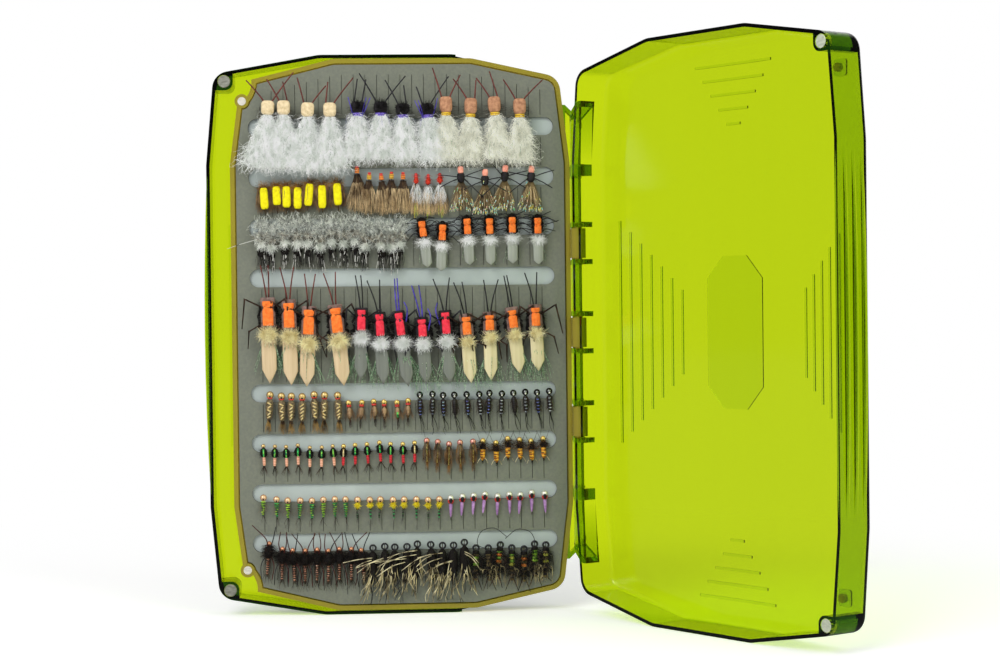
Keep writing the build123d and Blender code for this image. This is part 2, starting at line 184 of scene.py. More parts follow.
def clear_plastic(name, face, edge, absorb, density, shade, gloss):
    """Tinted clear plastic: darker where it is seen edge-on, a painted shade for the dark lines at its
    edges and ribs, and lets the lamps through.
    """
    material, s = new_material(name)
    facing = s.add("ShaderNodeLayerWeight", {"Blend": 0.35})
    # The colour seen edge-on is painted shade, not the plastic's own tint.
    colour = s.ramp(facing.outputs["Facing"], [(0.35, face), (0.95, edge)])
    ripple = s.bump(s.noise(90, 2), 0.05, 0.4 * MM)
    glass = s.principled({"Transmission Weight": gloss, "Roughness": 0.07, "IOR": 1.5}, colour, ripple)
    rays = s.add("ShaderNodeLightPath")
    let_through = s.add("ShaderNodeBsdfTransparent", {"Color": (*shade, 1)})
    s.surface(s.mixed(rays.outputs["Is Shadow Ray"], glass, let_through.outputs[0]))
    volume = s.add("ShaderNodeVolumeAbsorption", {"Color": (*absorb, 1), "Density": density})
    s.join(volume.outputs[0], s.out.inputs["Volume"])
    return material


def foam_sheet(name):
    """Grey closed-cell foam, with the paler, harder bottoms of its troughs, and painted shade on its sides,
    slit walls and trough walls.
    """
    material, s = new_material(name)
    grain = s.noise(1100, 4)
    skin = s.blend(grain, "71756a", "7b7e70")
    trough = s.blend(s.noise(60, 3), "a6b0ad", "b8c2bf")
    from_middle = s.maths("ABSOLUTE", s.maths("SUBTRACT", s.along("Y"), FOAM_MIDDLE * MM))
    deep = s.maths("LESS_THAN", from_middle, (TROUGH_BOTTOM + BOTTOM_ABOVE) * MM)
    not_slit = s.maths("GREATER_THAN", from_middle, (TROUGH_BOTTOM - BOTTOM_BELOW) * MM)
    # The node gives the normal in world space. It is turned to the piece's own, which moves with the joint.
    facing = s.add("ShaderNodeNewGeometry").outputs["True Normal"]
    turned = s.add("ShaderNodeVectorTransform", links={"Vector": facing}, vector_type="NORMAL",
        convert_from="WORLD", convert_to="OBJECT")
    out = s.add("ShaderNodeSeparateXYZ", links={"Vector": turned.outputs["Vector"]}).outputs["Y"]
    flat = s.maths("GREATER_THAN", s.maths("ABSOLUTE", out), FLAT_FROM)
    bottom = s.maths("MULTIPLY", deep, not_slit)
    faces = s.add("ShaderNodeMix", links={"Factor": bottom, "A": skin, "B": trough}, data_type="RGBA")
    # Faces that don't face front or back (the sides, slit walls and trough walls) are painted dark: painted
    # shade for the gap at the foam's edge, the slits and the trough edges.
    cut = s.blend(grain, "22231e", "2c2d27")
    colour = s.add("ShaderNodeMix", links={"Factor": flat, "A": cut, "B": faces.outputs["Result"]},
        data_type="RGBA")
    normal = s.bump(grain, 0.22, 0.1 * MM)
    s.plain(0.8, 0.2, colour.outputs["Result"], normal)
    return material


def metal(name, dark, light, roughness, grain=900, metallic=1.0):
    """Polished or plated metal with a slightly uneven plating."""
    material, s = new_material(name)
    texture = s.noise(grain, 3, (1, 1, 3))
    tint = s.blend(texture, dark, light)
    normal = s.bump(texture, 0.1, 0.05 * MM)
    s.surface(s.principled({"Metallic": metallic, "Roughness": roughness}, tint, normal))
    return material


def bead_metal(name, dark, light, bright=0.25, dull=0.6):
    """Plated bead with a painted reflection in its colour: bright where it faces the front, dark towards
    its edge.
    """
    material, s = new_material(name)
    facing = s.add("ShaderNodeLayerWeight", {"Blend": 0.5})
    tint = s.ramp(facing.outputs["Facing"], [(bright, srgb(light)), (dull, srgb(dark)),
        (0.95, (0.02, 0.015, 0.01))])
    normal = s.bump(s.noise(300, 3), 0.1, 0.05 * MM)
    s.surface(s.principled({"Metallic": 0.45, "Roughness": 0.2}, tint, normal))
    return material


def fibre(name, dark, light, sheen=0.2, grain=500, glow=0.0):
    """Hair, wool or feather fibre, uneven in colour along and between the fibres.

    glow stands for the light that pale fibres let through to each other.
    """
    material, s = new_material(name)
    colour = s.blend(s.noise(grain, 4, (1, 1, 0.6)), dark, light, 0.35, 0.62)
    shader = s.principled({"Roughness": 0.6, "Sheen Weight": sheen, "Specular IOR Level": 0.3,
        "Emission Strength": glow}, colour)
    if glow:
        s.join(colour, shader.node.inputs["Emission Color"])
    s.surface(shader)
    return material


def tipped(name, root, tip, high, low):
    """Hair that pales from its root to its tip, between two heights in mm."""
    material, s = new_material(name)
    share = s.add("ShaderNodeMapRange", {1: high * MM, 2: low * MM}, {0: s.along("Z")})
    streaks = s.noise(1500, 2, (1, 1, 0.12))
    uneven = s.maths("ADD", share.outputs[0], s.maths("MULTIPLY", s.maths("SUBTRACT", streaks, 0.55), 2.4))
    colour = s.blend(uneven, root, tip, 0.1, 0.9)
    s.plain(0.6, 0.3, colour)
    return material


def barred(name, dark, light, bar=700):
    """Fibre or rubber with dark bars across it."""
    material, s = new_material(name)
    colour = s.ramp(s.noise(bar, 1), [(0.0, srgb(dark)), (0.47, srgb(light))], steps=True)
    s.plain(0.5, 0.3, colour)
    return material


def cell_foam(name, dark, light):
    """Cut block of coloured closed-cell foam, with its cells and a few pits."""
    material, s = new_material(name)
    cells = s.add("ShaderNodeTexVoronoi", {"Scale": 1900.0}, {"Vector": s.coordinates()})
    colour = s.blend(s.noise(800, 4), dark, light, 0.3, 0.65)
    normal = s.bump(cells.outputs["Distance"], 0.35, 0.15 * MM)
    s.plain(0.7, 0.25, colour, normal)
    return material


def rubber(name, dark, light):
    material, s = new_material(name)
    colour = s.blend(s.noise(600, 3), dark, light)
    s.plain(0.4, 0.4, colour)
    return material


def dubbing(name, dark, light):
    """Spun fur on a hook: uneven in colour, with a rough, lumpy surface."""
    material, s = new_material(name)
    fuzz = s.noise(1500, 4)
    colour = s.blend(fuzz, dark, light, 0.35, 0.65)
    s.plain(0.8, 0.2, colour, s.bump(fuzz, 0.6, 0.2 * MM))
    return material


def wrapped(name, dark, light, pitch=2600, metallic=0.0, roughness=0.45):
    """Thread or dubbing wound across a hook: fine turns, in height and in colour."""
    material, s = new_material(name)
    turns = s.add("ShaderNodeTexWave", {"Scale": pitch / WAVE_TURN, "Distortion": 1.5, "Detail": 2.0},
        {"Vector": s.coordinates()}, bands_direction="Z")
    uneven = s.maths("ADD", s.maths("MULTIPLY", turns.outputs["Fac"], 0.5),
        s.maths("MULTIPLY", s.noise(900, 4), 0.5))
    colour = s.blend(uneven, dark, light)
    normal = s.bump(turns.outputs["Fac"], 0.5, 0.12 * MM)
    s.surface(s.principled({"Metallic": metallic, "Roughness": roughness}, colour, normal))
    return material


def tinsel(name, *codes):
    """Metallic flash with a different colour every millimetre or so: partly its own colours, partly painted
    glints in its pale and white steps.
    """
    material, s = new_material(name)
    stops = [(0.3 + 0.4 * i / len(codes), srgb(code)) for i, code in enumerate(codes)]
    colour = s.ramp(s.noise(900, 1), stops, steps=True)
    s.surface(s.principled({"Metallic": 0.2, "Roughness": 0.3}, colour))
    return material


def wing_sheet(name, dark, light):
    """Thin synthetic wing with fine veins along it."""
    material, s = new_material(name)
    veins = s.noise(200, 2, (4, 1, 0.2))
    colour = s.blend(veins, dark, light)
    s.plain(0.5, 0.35, colour, s.bump(veins, 0.03, 0.1 * MM))
    return material


# kind: its finishes by name, with what each kind's function takes after the name
DRESSINGS = {
    fibre: {
        "white_wool": ("dce2da", "ffffff", 0.2, 500, 0.1),
        # The core finishes under the wool and the tufts are darker than their fibres: painted shade for the
        # gaps between the fibres.
        "wool_core": ("a8b0a6", "d8dcd4", 0.2, 500, 0.06),
        "ivory_wool": ("dcdcca", "fffff4", 0.2, 500, 0.1), "pale_hair": ("9a7c50", "f8dca8", 0.2, 260),
        "dark_deer_hair": ("3a2c1e", "9c8454", 0.2, 260),
        "puff_yellow": ("d8c888", "fff8cc", 0.2, 500, 0.1), "puff_yellow_core": ("b8a868", "dccc90"),
        "puff_white": ("dce0da", "ffffff", 0.2, 500, 0.08), "puff_white_core": ("c8ccc8", "f4f8f4"),
        "puff_grey": ("b4bcae", "fdfff8", 0.2, 500, 0.08), "warm_grizzly": ("5a5244", "d0c8b4", 0.0, 900),
        "pale_grizzly": ("666c62", "fcfff4", 0.2, 900, 0.1), "mottled_leg": ("1c160c", "c8b888", 0.0, 350),
        "tan_leg": ("4a3a20", "f0e4b8", 0.0, 350), "black_fibre": ("0d0b0a", "262220", 0.0),
        "dark_fibre": ("1a120e", "463226", 0.0), "brown_fibre": ("4a3018", "9a6c30", 0.0),
        "soft_brown": ("4c3826", "9c7a54", 0.0), "warm_brown": ("5a4430", "a8865c", 0.0),
        "amber_fibre": ("6a4414", "c48c30", 0.0), "grey_brown_fibre": ("3c342a", "8a7c66", 0.0),
        "pheasant": ("3c2814", "b8924e", 0.0, 350), "grey_fibre": ("4c4c44", "8a8a7e", 0.1),
    },
    cell_foam: {
        "cream_foam": ("d0b98c", "f0dcb4"), "black_foam": ("1b191a", "302d30"),
        "tan_foam": ("9c6c50", "c89470"), "brown_foam": ("665049", "8c746c"),
        "orange_foam": ("f26a20", "ff8a3a"), "red_foam": ("dd2338", "fb4055"),
        "yellow_foam": ("e4d400", "f6ec0c"), "salmon_foam": ("f08e78", "ffb29a"),
    },
    wrapped: {
        "yellow_thread": ("b98a10", "f2cc34"), "purple_thread": ("44339a", "8a72e0"),
        "red_thread": ("a81c1c", "e8463a"), "orange_thread": ("a8581c", "f08a2c"),
        "gold_thread": ("9c7418", "e0b030"), "black_thread": ("0e0d0d", "2c2a2a"),
        "brown_thread": ("3a2618", "6e4e32"), "lime_thread": ("5c9a1c", "b4e044"),
        "green_thread": ("0f6a38", "3cb45c"), "dark_green_thread": ("1c3420", "4a6a44"),
        "salmon_wire": ("d08868", "ffc4a4", 3200, 0.0, 0.4),
        "red_wire": ("9c1420", "f43844", 3200, 0.2, 0.4),
        "orange_floss": ("b86c10", "f8b834", 1500, 0.0, 0.5),
    },
    tipped: {
        "tipped_hair": ("4e3c2a", "fcdca4", 161.0, 150.0),
    },
    barred: {
        "barred_leg": ("1c1c1c", "dcdcd4", 500),
    },
    rubber: {
        "brown_rubber": ("4c1c18", "7c3a32"), "dark_red_rubber": ("2c100c", "5c2420"),
        "black_rubber": ("161618", "303034"), "purple_rubber": ("2c2278", "5c4acc"),
        "purple_floss": ("9064a0", "c89cd4"),
    },
    wing_sheet: {
        "cream_wing": ("cbb28a", "dcc49e"), "pale_wing": ("d0c294", "e0d4ac"),
        "grey_wing": ("70746c", "80847c"), "clear_wing": ("8c9086", "a2a69c"),
        "tan_wing": ("84684c", "b4946c"),
    },
    tinsel: {
        "green_flash": ("2a6a48", "a8dca0", "3a5a48", "e0f4d0", "5a7a5c", "b0e8b0"),
        # The white and pale yellow steps of bright_flash are painted glints.
        "bright_flash": ("f8dc48", "fffce0", "fff04c", "60dce0", "ffffff", "f0a878", "60d890"),
        "lime_flash": ("a4e02c", "f0fc54", "e4c030"),
        "blue_wire": ("5060b0", "8a9cf0", "6a4c9c", "b8e0e4", "40488c"),
        "pale_wire": ("9098a0", "d8e0e0", "6c7480"),
        "copper_wire": ("a85c40", "f0b090", "6a3424", "ffd0b0"),
        "green_tinsel": ("0c6a34", "28c868", "8cd84c", "168a54"),
        "olive_gold": ("a88a3c", "e0c868", "7c7c34"),
    },
    bead_metal: {
        "gold_bead": ("d0982c", "ffdc80"), "rose_gold_bead": ("dc9c70", "ffd4a8"),
        "bronze_bead": ("a07c40", "f0cc88"), "copper_bead": ("c06c40", "ffb488"),
        "pink_bead": ("b06050", "f4ac9c"), "pale_bead": ("e4e0cc", "fffdf0"),
        # The black beads' small pale middle is a painted highlight.
        "black_bead": ("1c1e1e", "9ca09c", 0.01, 0.12),
    },
    metal: {
        "bronze_hook": ("2c2218", "5a4a38", 0.3), "gold_wire": ("e0b048", "fff8c8", 0.4, 1500, 0.3),
    },
    dubbing: {
        "yellow_olive": ("8a8a28", "c4c458"), "olive_dubbing": ("3a3220", "7c6c48"),
        "grey_dubbing": ("4a4030", "8c7c5c"), "brown_dubbing": ("2e2014", "6a5034"),
        "black_dubbing": ("0c0a09", "221d1a"), "red_dubbing": ("8c1c18", "e8462c"),
        "green_dubbing": ("3a5a14", "7ca43c"), "yellow_dubbing": ("dcc008", "fff44c"),
    },
}
made = {}


def dressing(name):
    """The finish of that name, made the first time that it is asked for."""
    if name not in made:
        kind = next(kind for kind, finishes in DRESSINGS.items() if name in finishes)
        made[name] = kind(name, *DRESSINGS[kind][name])
    return made[name]


shell_plastic = clear_plastic("citron_polycarbonate", (0.86, 0.93, 0.025), (0.14, 0.25, 0.01),
    (0.68, 0.79, 0.0), 900, (0.7, 0.84, 0.12), 1.0)
leaf_plastic = clear_plastic("gold_polycarbonate", (0.46, 0.385, 0.05), (0.3, 0.24, 0.03), (0.7, 0.6, 0.1),
    300, (0.7, 0.6, 0.2), 0.4)
magnet_metal = metal("magnet_nickel", "7c7c70", "a8a89c", 0.55, 500, 0.4)
# The lid's corner magnets are the same nickel as the base's, painted paler and less metallic for the bright
# reflection that they show.
painted_bright_magnet_metal = metal("magnet_nickel_painted_bright", "b8beac", "d8dec8", 0.5, 500, 0.2)
small_magnet_metal = metal("keeper_nickel", "ccc8bc", "ece8dc", 0.5, 500, 0.2)
FINISHES = {
    "base_shell": shell_plastic, "lid_shell": shell_plastic, "leaf_frame": leaf_plastic,
    "front_foam": foam_sheet("slit_foam"), "back_foam": foam_sheet("plain_foam"),
    "base_corner_magnets": magnet_metal, "lid_corner_magnets": painted_bright_magnet_metal,
    "base_keeper_magnets": magnet_metal, "lid_floor_studs": magnet_metal,
    "leaf_magnets": small_magnet_metal,
}


# ---- mesh building -----------------------------------------------------------------

OUTWARD = np.array([0.06, -0.99, 0.05])      # out from the foam, off every fibre's own line


def unit(vectors):
    return vectors / np.maximum(np.linalg.norm(vectors, axis=-1, keepdims=True), 1e-9)


def rounding(t, steep, least):
    """Share of the full width at distances t from a rounded end."""
    return np.sin(np.clip(t * steep + least, 0, math.pi / 2))


def smooth(points, steps=5):
    """Points along a smooth curve through the given ones."""
    p = np.asarray(points, float)
    p = np.vstack([2 * p[0] - p[1], p, 2 * p[-1] - p[-2]])
    t = np.linspace(0, 1, steps, endpoint=False)[:, None]
    runs = []
    for a, b, c, d in zip(p, p[1:], p[2:], p[3:]):
        square, cube = 2 * a - 5 * b + 4 * c - d, 3 * b - a - 3 * c + d
        runs.append(0.5 * (2 * b + (c - a) * t + square * t ** 2 + cube * t ** 3))
    return np.vstack(runs + [p[-2:-1]])


class Piece:
    """One object's mesh while it is built, in mm, with a finish for each face."""

    def __init__(self):
        self.points, self.faces, self.marks, self.finishes, self.count = [], [], [], [], 0

    def tubes(self, lines, widths, finish, sides=3, flat=1.0, square=2.0, capped=False):
        """Tubes along lines (tubes, stations, 3), with half widths, flatter or squarer than round."""
        lines = np.asarray(lines, float)
        lines = lines.reshape(-1, *lines.shape[-2:])
        count, stations = lines.shape[:2]
        widths = np.broadcast_to(widths, (count, stations))[:, :, None, None]
        flat = np.broadcast_to(flat, (count, stations))[:, :, None, None]
        along = unit(np.gradient(lines, axis=1))
        side = unit(np.cross(along, OUTWARD))
        up = np.cross(along, side)
        turn = np.arange(sides) * 2 * math.pi / sides
        cos, sin = np.cos(turn), np.sin(turn)
        reach = (np.abs(cos) ** square + np.abs(sin) ** square) ** (-1 / square)
        ring = side[:, :, None] * (cos * reach)[:, None] + up[:, :, None] * flat * (sin * reach)[:, None]
        self.points.append((lines[:, :, None] + widths * ring).reshape(-1, 3))
        index = self.count + np.arange(count * stations * sides).reshape(count, stations, sides)
        after = np.roll(index, -1, axis=2)
        quads = np.stack([index[:, :-1], after[:, :-1], after[:, 1:], index[:, 1:]], -1).reshape(-1, 4)
        faces = quads.tolist()
        if capped:
            faces += index[:, 0, ::-1].tolist() + index[:, -1].tolist()
        self.faces += faces
        if finish not in self.finishes:
            self.finishes.append(finish)
        self.marks += [self.finishes.index(finish)] * len(faces)
        self.count += count * stations * sides

    def finish_as(self, name):
        mesh = bpy.data.meshes.new(name)
        mesh.from_pydata((np.vstack(self.points) * MM).tolist(), [], self.faces)
        mesh.polygons.foreach_set("material_index", self.marks)
        mesh.polygons.foreach_set("use_smooth", [True] * len(mesh.polygons))
        for finish in self.finishes:
            mesh.materials.append(dressing(finish))
        thing = bpy.data.objects.new(name, mesh)
        bpy.context.scene.collection.objects.link(thing)
        return thing


class Fly:
    """One fly on the foam, in its own directions: u sideways, s down from its head, h out
    from the foam, all in mm. Its shank lies at height h = lift."""

    def __init__(self, piece, x, z, rng, lift):
        self.piece, self.x, self.z, self.rng, self.lift = piece, x, z, rng, lift
        self.lean, self.sag, self.way = rng.normal(0, LEAN), 0.0, 1

    def place(self, spots):
        u, s, h = np.moveaxis(np.asarray(spots, float), -1, 0)
        cos, sin = math.cos(self.lean), math.sin(self.lean)
        u = u * self.way
        return np.stack([self.x + u * cos + s * sin, FOAM_FRONT - h, self.z - s * cos + u * sin], -1)

    def rod(self, spots, width, finish, sides=5, **shape):
        """Tube with closed ends."""
        self.tube(spots, width, finish, sides, capped=True, **shape)

    def sides(self):
        """The same fly with u mirrored to its left, then as it is, for what it has on both sides."""
        left = copy.copy(self)
        left.way = -1
        return left, self

    def raised(self, by):
        """The same fly with its shank higher, for what lies on top of it."""
        fly = copy.copy(self)
        fly.lift += by
        return fly

    def tube(self, spots, width, finish, sides=6, **shape):
        self.piece.tubes(self.place(spots), width, finish, sides, **shape)

    def shank(self, length, gap=2.6):
        """Hook: the shank, and the bend that goes down into its slit."""
        lift = self.lift
        line = smooth([(0, 0, lift), (0, length, lift), (0, length + gap * 0.6, lift - gap * 0.35),
            (0, length + gap * 0.3, lift - gap), (0, length - gap * 0.5, lift - gap * 1.1)])
        self.rod(line, 0.17, "bronze_hook")

    def body(self, s0, s1, widths, finish, h=None, flat=1.0, sides=10, lumps=0.0):
        """Round body between two heights, closed at both ends, its half widths evenly spaced."""
        h = self.lift if h is None else h
        t = np.linspace(0, 1, STATIONS)
        width = np.interp(t, np.linspace(0, 1, len(widths)), widths)
        uneven = 1 + self.rng.normal(0, 1, STATIONS) * lumps
        width = width * uneven * rounding(t, 9, 0.25) * rounding(1 - t, 9, 0.25)
        line = np.stack([np.zeros(STATIONS), s0 + (s1 - s0) * t, np.full(STATIONS, h)], -1)
        self.rod(line, width, finish, sides, flat=flat)

    def block(self, s0, s1, half, thick, finish, h=None, pinch=None, taper=1.0, round_ends=0.06,
              corner=0.28):
        """Cut foam block, pinched where thread crosses it."""
        h = self.lift if h is None else h
        ends = np.array([0, 0.1, 0.3, 0.6, 1]) * round_ends
        t = np.concatenate([ends, np.linspace(round_ends + 0.05, 0.95 - round_ends, 12), 1 - ends[::-1]])
        near_end = np.clip(np.minimum(t, 1 - t) / round_ends, 0, 1)
        width = half * (1 - corner + corner * np.sqrt(1 - (1 - near_end) ** 2)) * (1 + (taper - 1) * t)
        width = width * (1 + self.rng.normal(0, 0.012, len(t)))
        high = np.full(len(t), float(h))
        if pinch is not None:
            near = np.exp(-((t - pinch) / 0.06) ** 2)
            width, high = width * (1 - 0.25 * near), high - 0.6 * thick * near
        line = np.stack([np.zeros(len(t)), s0 + (s1 - s0) * t, high], -1)
        self.rod(line, width, finish, 16, flat=thick / half, square=6)

    def wing(self, s0, s1, half, finish, h, point):
        """Flat blade with straight sides and a pointed end, rising a little off the body."""
        t = np.array([0, 0.12, 0.4, 1 - point, 1 - point * 0.45, 1])
        width = half * np.array([0.8, 1, 1.02, 1, 0.5, 0.03])
        line = np.stack([np.zeros(6), s0 + (s1 - s0) * t, h + 0.6 * np.sin(t * 3)], -1)
        self.rod(line, width, finish, 8, flat=0.09, square=4)

    def bead(self, radius, finish, painted_reflection_spot="black_foam"):
        """Drilled bead, with a small spot in the given finish on its front: a painted reflection, dark on
        most beads and a pale painted highlight on black ones.
        """
        around = np.linspace(0.25, math.pi - 0.25, 9)
        line = np.stack([np.zeros(9), radius - radius * np.cos(around), np.full(9, self.lift)], -1)
        self.tube(line, radius * np.sin(around), finish, 14)
        if painted_reflection_spot:
            self.body(radius, radius + 0.75 * radius, (0.2 * radius, 0.36 * radius, 0.2 * radius), painted_reflection_spot,
                h=self.lift + 0.68 * radius, sides=8)

    def strands(self, roots, tips, finish, width=0.07, crinkle=0.05, steps=4, bow=0.06):
        """Fibres between two sets of spots, each bowed and crinkled by itself."""
        roots, tips = np.asarray(roots, float), np.asarray(tips, float)
        count = len(roots)
        long = np.linalg.norm(tips - roots, axis=1)[:, None, None]
        t = np.linspace(0, 1, steps + 1)[:, None]
        lines = roots[:, None] + (tips - roots)[:, None] * t
        lines = lines + self.rng.normal(0, bow, (count, 1, 3)) * long * np.sin(math.pi * t)
        lines = lines + self.rng.normal(0, crinkle, lines.shape) * t * np.minimum(long, 8)
        lines[..., 2] = np.maximum(lines[..., 2], LOWEST)
        self.piece.tubes(self.place(lines), width * (1 - 0.7 * t[:, 0]), finish)

    def skirt(self, s, length, count, finish, root=0.7, fan=3.0, rise=2.0, width=0.07, **bend):
        """Fibres swept back from a tying point in a fan."""
        across = self.rng.uniform(-1, 1, count)
        out = self.rng.uniform(-0.3, 1, count)
        reach = self.rng.uniform(0.7, 1, count)
        roots = np.stack([root * across, s + self.rng.uniform(0, 0.6, count), self.lift + root * out], -1)
        tips = np.stack([fan * (across + self.rng.normal(0, 0.14, count)) * (0.5 + 0.5 * reach),
            s + length * reach * (1 - 0.12 * across ** 2), self.lift + rise * out], -1)
        self.strands(roots, tips, finish, width, **bend)

    def wool(self, start, halves, finish, core, count, long=3.4):
        """Curly wool wing: a soft core under short crinkled fibres that lie all ways. The core's finish is
        darker than the fibres, painted shade for the gaps between them.
        """
        spots = np.linspace(start, start + long * (len(halves) - 1), len(halves))
        end, high = spots[-1], self.lift + 1.6
        t = np.linspace(0, 1, STATIONS)
        width = np.interp(t, np.linspace(0, 1, len(halves)), halves) * 0.86
        width = width * rounding(1 - t, 6, 0.35) * (1 + self.rng.normal(0, 0.04, STATIONS))
        middle = self.sag * t ** 1.3
        line = np.stack([middle, start + (end - start) * t, np.full(STATIONS, high)], -1)
        self.rod(line, width, core, 20, flat=0.35)
        down = self.rng.uniform(0, 1, count) ** 0.9
        half = np.interp(down, np.linspace(0, 1, len(halves)), halves)
        across = self.rng.uniform(-1, 1, count)
        roots = np.stack([across * half * 0.95 + self.sag * down ** 1.3, start + (end - start - 1) * down,
            high + 0.4 * half * np.sqrt(1 - across ** 2)], -1)
        angle = self.rng.normal(0, 1, count) * (0.45 + 0.45 * down) + 0.3 * across
        reach = self.rng.uniform(1.4, 3.2, count) * (1 + 0.6 * down)
        tips = roots + np.stack([reach * np.sin(angle), reach * np.cos(angle),
            self.rng.normal(0.3, 0.5, count)], -1)
        self.strands(roots, tips, finish, 0.075, crinkle=0.1, steps=5, bow=0.22)

    def hackle(self, s, length, count, finish, back=0.35, width=0.05, depth=0.8, **bend):
        """Fibres that stand out all round the shank."""
        turn = self.rng.uniform(-0.35, math.pi + 0.35, count)
        reach = length * self.rng.uniform(0.75, 1, count)
        start = s + self.rng.uniform(0, depth, count)
        roots = np.stack([0.3 * np.cos(turn), start, self.lift + 0.3 * np.sin(turn)], -1)
        swept = start + back * reach + self.rng.normal(0, 0.12, count) * length
        tips = np.stack([reach * np.cos(turn), swept, self.lift + 0.75 * reach * np.sin(turn)], -1)
        self.strands(roots, tips, finish, width, **bend)

    def puff(self, s, radius, count, finish, width=0.07, back=0.4, wide=1.0, climb=1.3, **bend):
        """Tuft of short fibres that stand out from one spot towards the front and sides."""
        turn = self.rng.uniform(0, 2 * math.pi, count)
        climb = self.rng.uniform(0.0, climb, count)
        reach = radius * self.rng.uniform(0.75, 1, count)
        roots = np.stack([self.rng.normal(0, 0.25 * radius * wide, count),
            s + self.rng.normal(0, 0.3, count), np.full(count, self.lift + 0.6)], -1)
        tips = roots + np.stack([wide * reach * np.cos(turn) * np.cos(climb),
            reach * (np.sin(turn) * np.cos(climb) + back), 0.8 * reach * np.sin(climb)], -1)
        self.strands(roots, tips, finish, width, **bend)

    def leg(self, spots, finish, width=0.3):
        """Rubber or knotted leg through a few spots, given from its root."""
        line = smooth(spots)
        self.rod(line, np.linspace(width, width * 0.75, len(line)), finish)

    def bent(self, spots, finish, width):
        """Stiff leg with a sharp, thickened knee."""
        root, knee, foot = np.asarray(spots, float)
        line = [root, root + (knee - root) * 0.9, knee, knee + (foot - knee) * 0.1, foot]
        self.rod(line, width * np.array([0.8, 0.8, 1.3, 0.8, 0.5]), finish)

    def either(self, *spots):
        """The given spots with u mirrored to a side picked at random."""
        side = self.rng.choice([-1, 1])
        return [(side * u, s, h) for u, s, h in spots]


# ---- fly patterns ---------------------------------------------------------------------
# Each takes a fly and its number in the pattern's run.

SLEEK = {"crinkle": 0.008, "bow": 0.02}
STIFF = {"crinkle": 0.01, "bow": 0.03}
CURLED = {"crinkle": 0.06, "bow": 0.12}


def wool_hopper(fly, foam, head, half, collar, wool, wool_from, halves, count, legs, long=3.4):
    """Hopper: cut foam head on a dark shank, a long curly wool wing, rubber legs by its head."""
    fly.shank(20)
    fly.body(4, 19, (1.4, 1.6, 1.0), "brown_dubbing", lumps=0.1)
    fly.hackle(2.5, 5.2, 120, "dark_fibre", 0.2, 0.06, 9, crinkle=0.06)
    fly.block(0, head, half, 1.6, foam, h=3.4, taper=0.95, round_ends=0.3, corner=0.5)
    if collar:
        fly.body(head - 0.3, head + 1.3, (half * 0.78,) * 3, collar, h=3.2, flat=0.8)
    fly.wool(wool_from, halves, wool, "wool_core", count, long)
    fly.raised(2.0).hackle(wool_from, 4.6, 26, wool, 0.1, 0.05, 3.0, crinkle=0.09, bow=0.2)
    for flank in fly.sides():
        out, up = fly.rng.uniform(-1, 9.5), fly.rng.uniform(6.5, 11)
        flank.leg([(0.8, 3.5, 3.6), (1.4, 0.6, 4.0), ((out + 1.4) / 2, -up * 0.5, 4.0), (out, -up, 3.6)],
            legs, 0.34)


def cream_hopper(fly, i):
    fly.sag = -2.4 if i == 0 else 0
    wool_hopper(fly, "cream_foam", 5.3, 2.45, None, "white_wool", 4.9, (1.6, 3.0, 4.3, 5.2, 6.0, 6.6, 6.2),
        1470, "brown_rubber")


def black_hopper(fly, i):
    wool_hopper(fly, "black_foam", 4.2, 2.6, "purple_thread", "white_wool", 4.6,
        (2.0, 3.4, 4.0, 4.5, 4.9, 4.7), 1250, "black_rubber")
    fly.raised(1.5).puff(1.8, 3.4, 260, "black_fibre", 0.1, 0.0, 0.9, crinkle=0.03)
    for _ in range(fly.rng.integers(0, 4)):
        out = fly.rng.uniform(1.5, 3.4)
        fly.leg(fly.either((1.6, 5.5, 4.4), (out, 2.0, 5.0), (out * 1.4, -1.5, 4.8)), "purple_rubber", 0.2)
    fly.skirt(3.0, 7, 14, "purple_thread", 2.4, 4.8, 4.6, 0.07)


def tan_hopper(fly, i):
    wool_hopper(fly, "tan_foam", 5.9, 2.4, "yellow_thread", "ivory_wool", 6.8,
        (1.5, 3.0, 3.8, 4.2, 4.5, 4.7, 4.2), 1150, "brown_rubber", 2.8)
    fly.skirt(7, 14, 80, "dark_fibre", 1.5, 5.6, 0.8, 0.07)
    fly.skirt(16, 8.0, 26, "green_flash", 3.2, 4.6, 4.0, 0.09)


def yellow_beetle(fly, i):
    """Small fly with a cut yellow foam back over brown hackle."""
    fly.shank(9, 2)
    long = (8.0, 7.0, 7.9, 8.0, 8.3, 8.6, 8.2)[i]
    fly.puff(0.2, 3.6, 150, "amber_fibre", 0.06, -0.1, 1.0, crinkle=0.03)
    fly.hackle(-1.2, 3.4, 30, "black_fibre", -0.3, 0.06, 1.5)
    fly.skirt(0.5, 9.5, 170, "warm_brown", 2.2, 3.2, 0.7, 0.1)
    fly.block(0, long, 1.5, 1.2, "yellow_foam", h=2.4, round_ends=0.2, corner=0.5)
    fly.body(-1.0, 0.5, (0.7, 1.0, 1.0), "brown_thread", h=2.0)


def hair_wing(fly, i):
    """Flared deer hair, dark at its root, behind a small orange head."""
    fly.shank(11, 2.2)
    fly.body(3, 11, (1.0, 1.2, 0.8), "brown_dubbing")
    fly.block(0, 1.2, 0.6, 0.6, "red_thread", h=2.5)
    fly.block(0.8, 2.6, 0.85, 0.7, ("orange_thread", "gold_thread")[i % 2], h=2.4)
    fan = 4.6 if i == 0 else 3.7
    long = 15.0 if i == 0 else 13.2
    fly.skirt(3.0, long, 230, "tipped_hair", 0.9, fan, 2.6, 0.075, **SLEEK)
    fly.skirt(6.0, long - 3.4, 90, "pale_hair", 2.0, fan, 3.2, 0.075, **SLEEK)
    fly.skirt(3.0, long + 0.6, 110, "dark_fibre", 1.0, fan, 1.8, 0.07, **SLEEK)
    fly.hackle(2.4, 2.0, 24, "dark_fibre", 0.3)


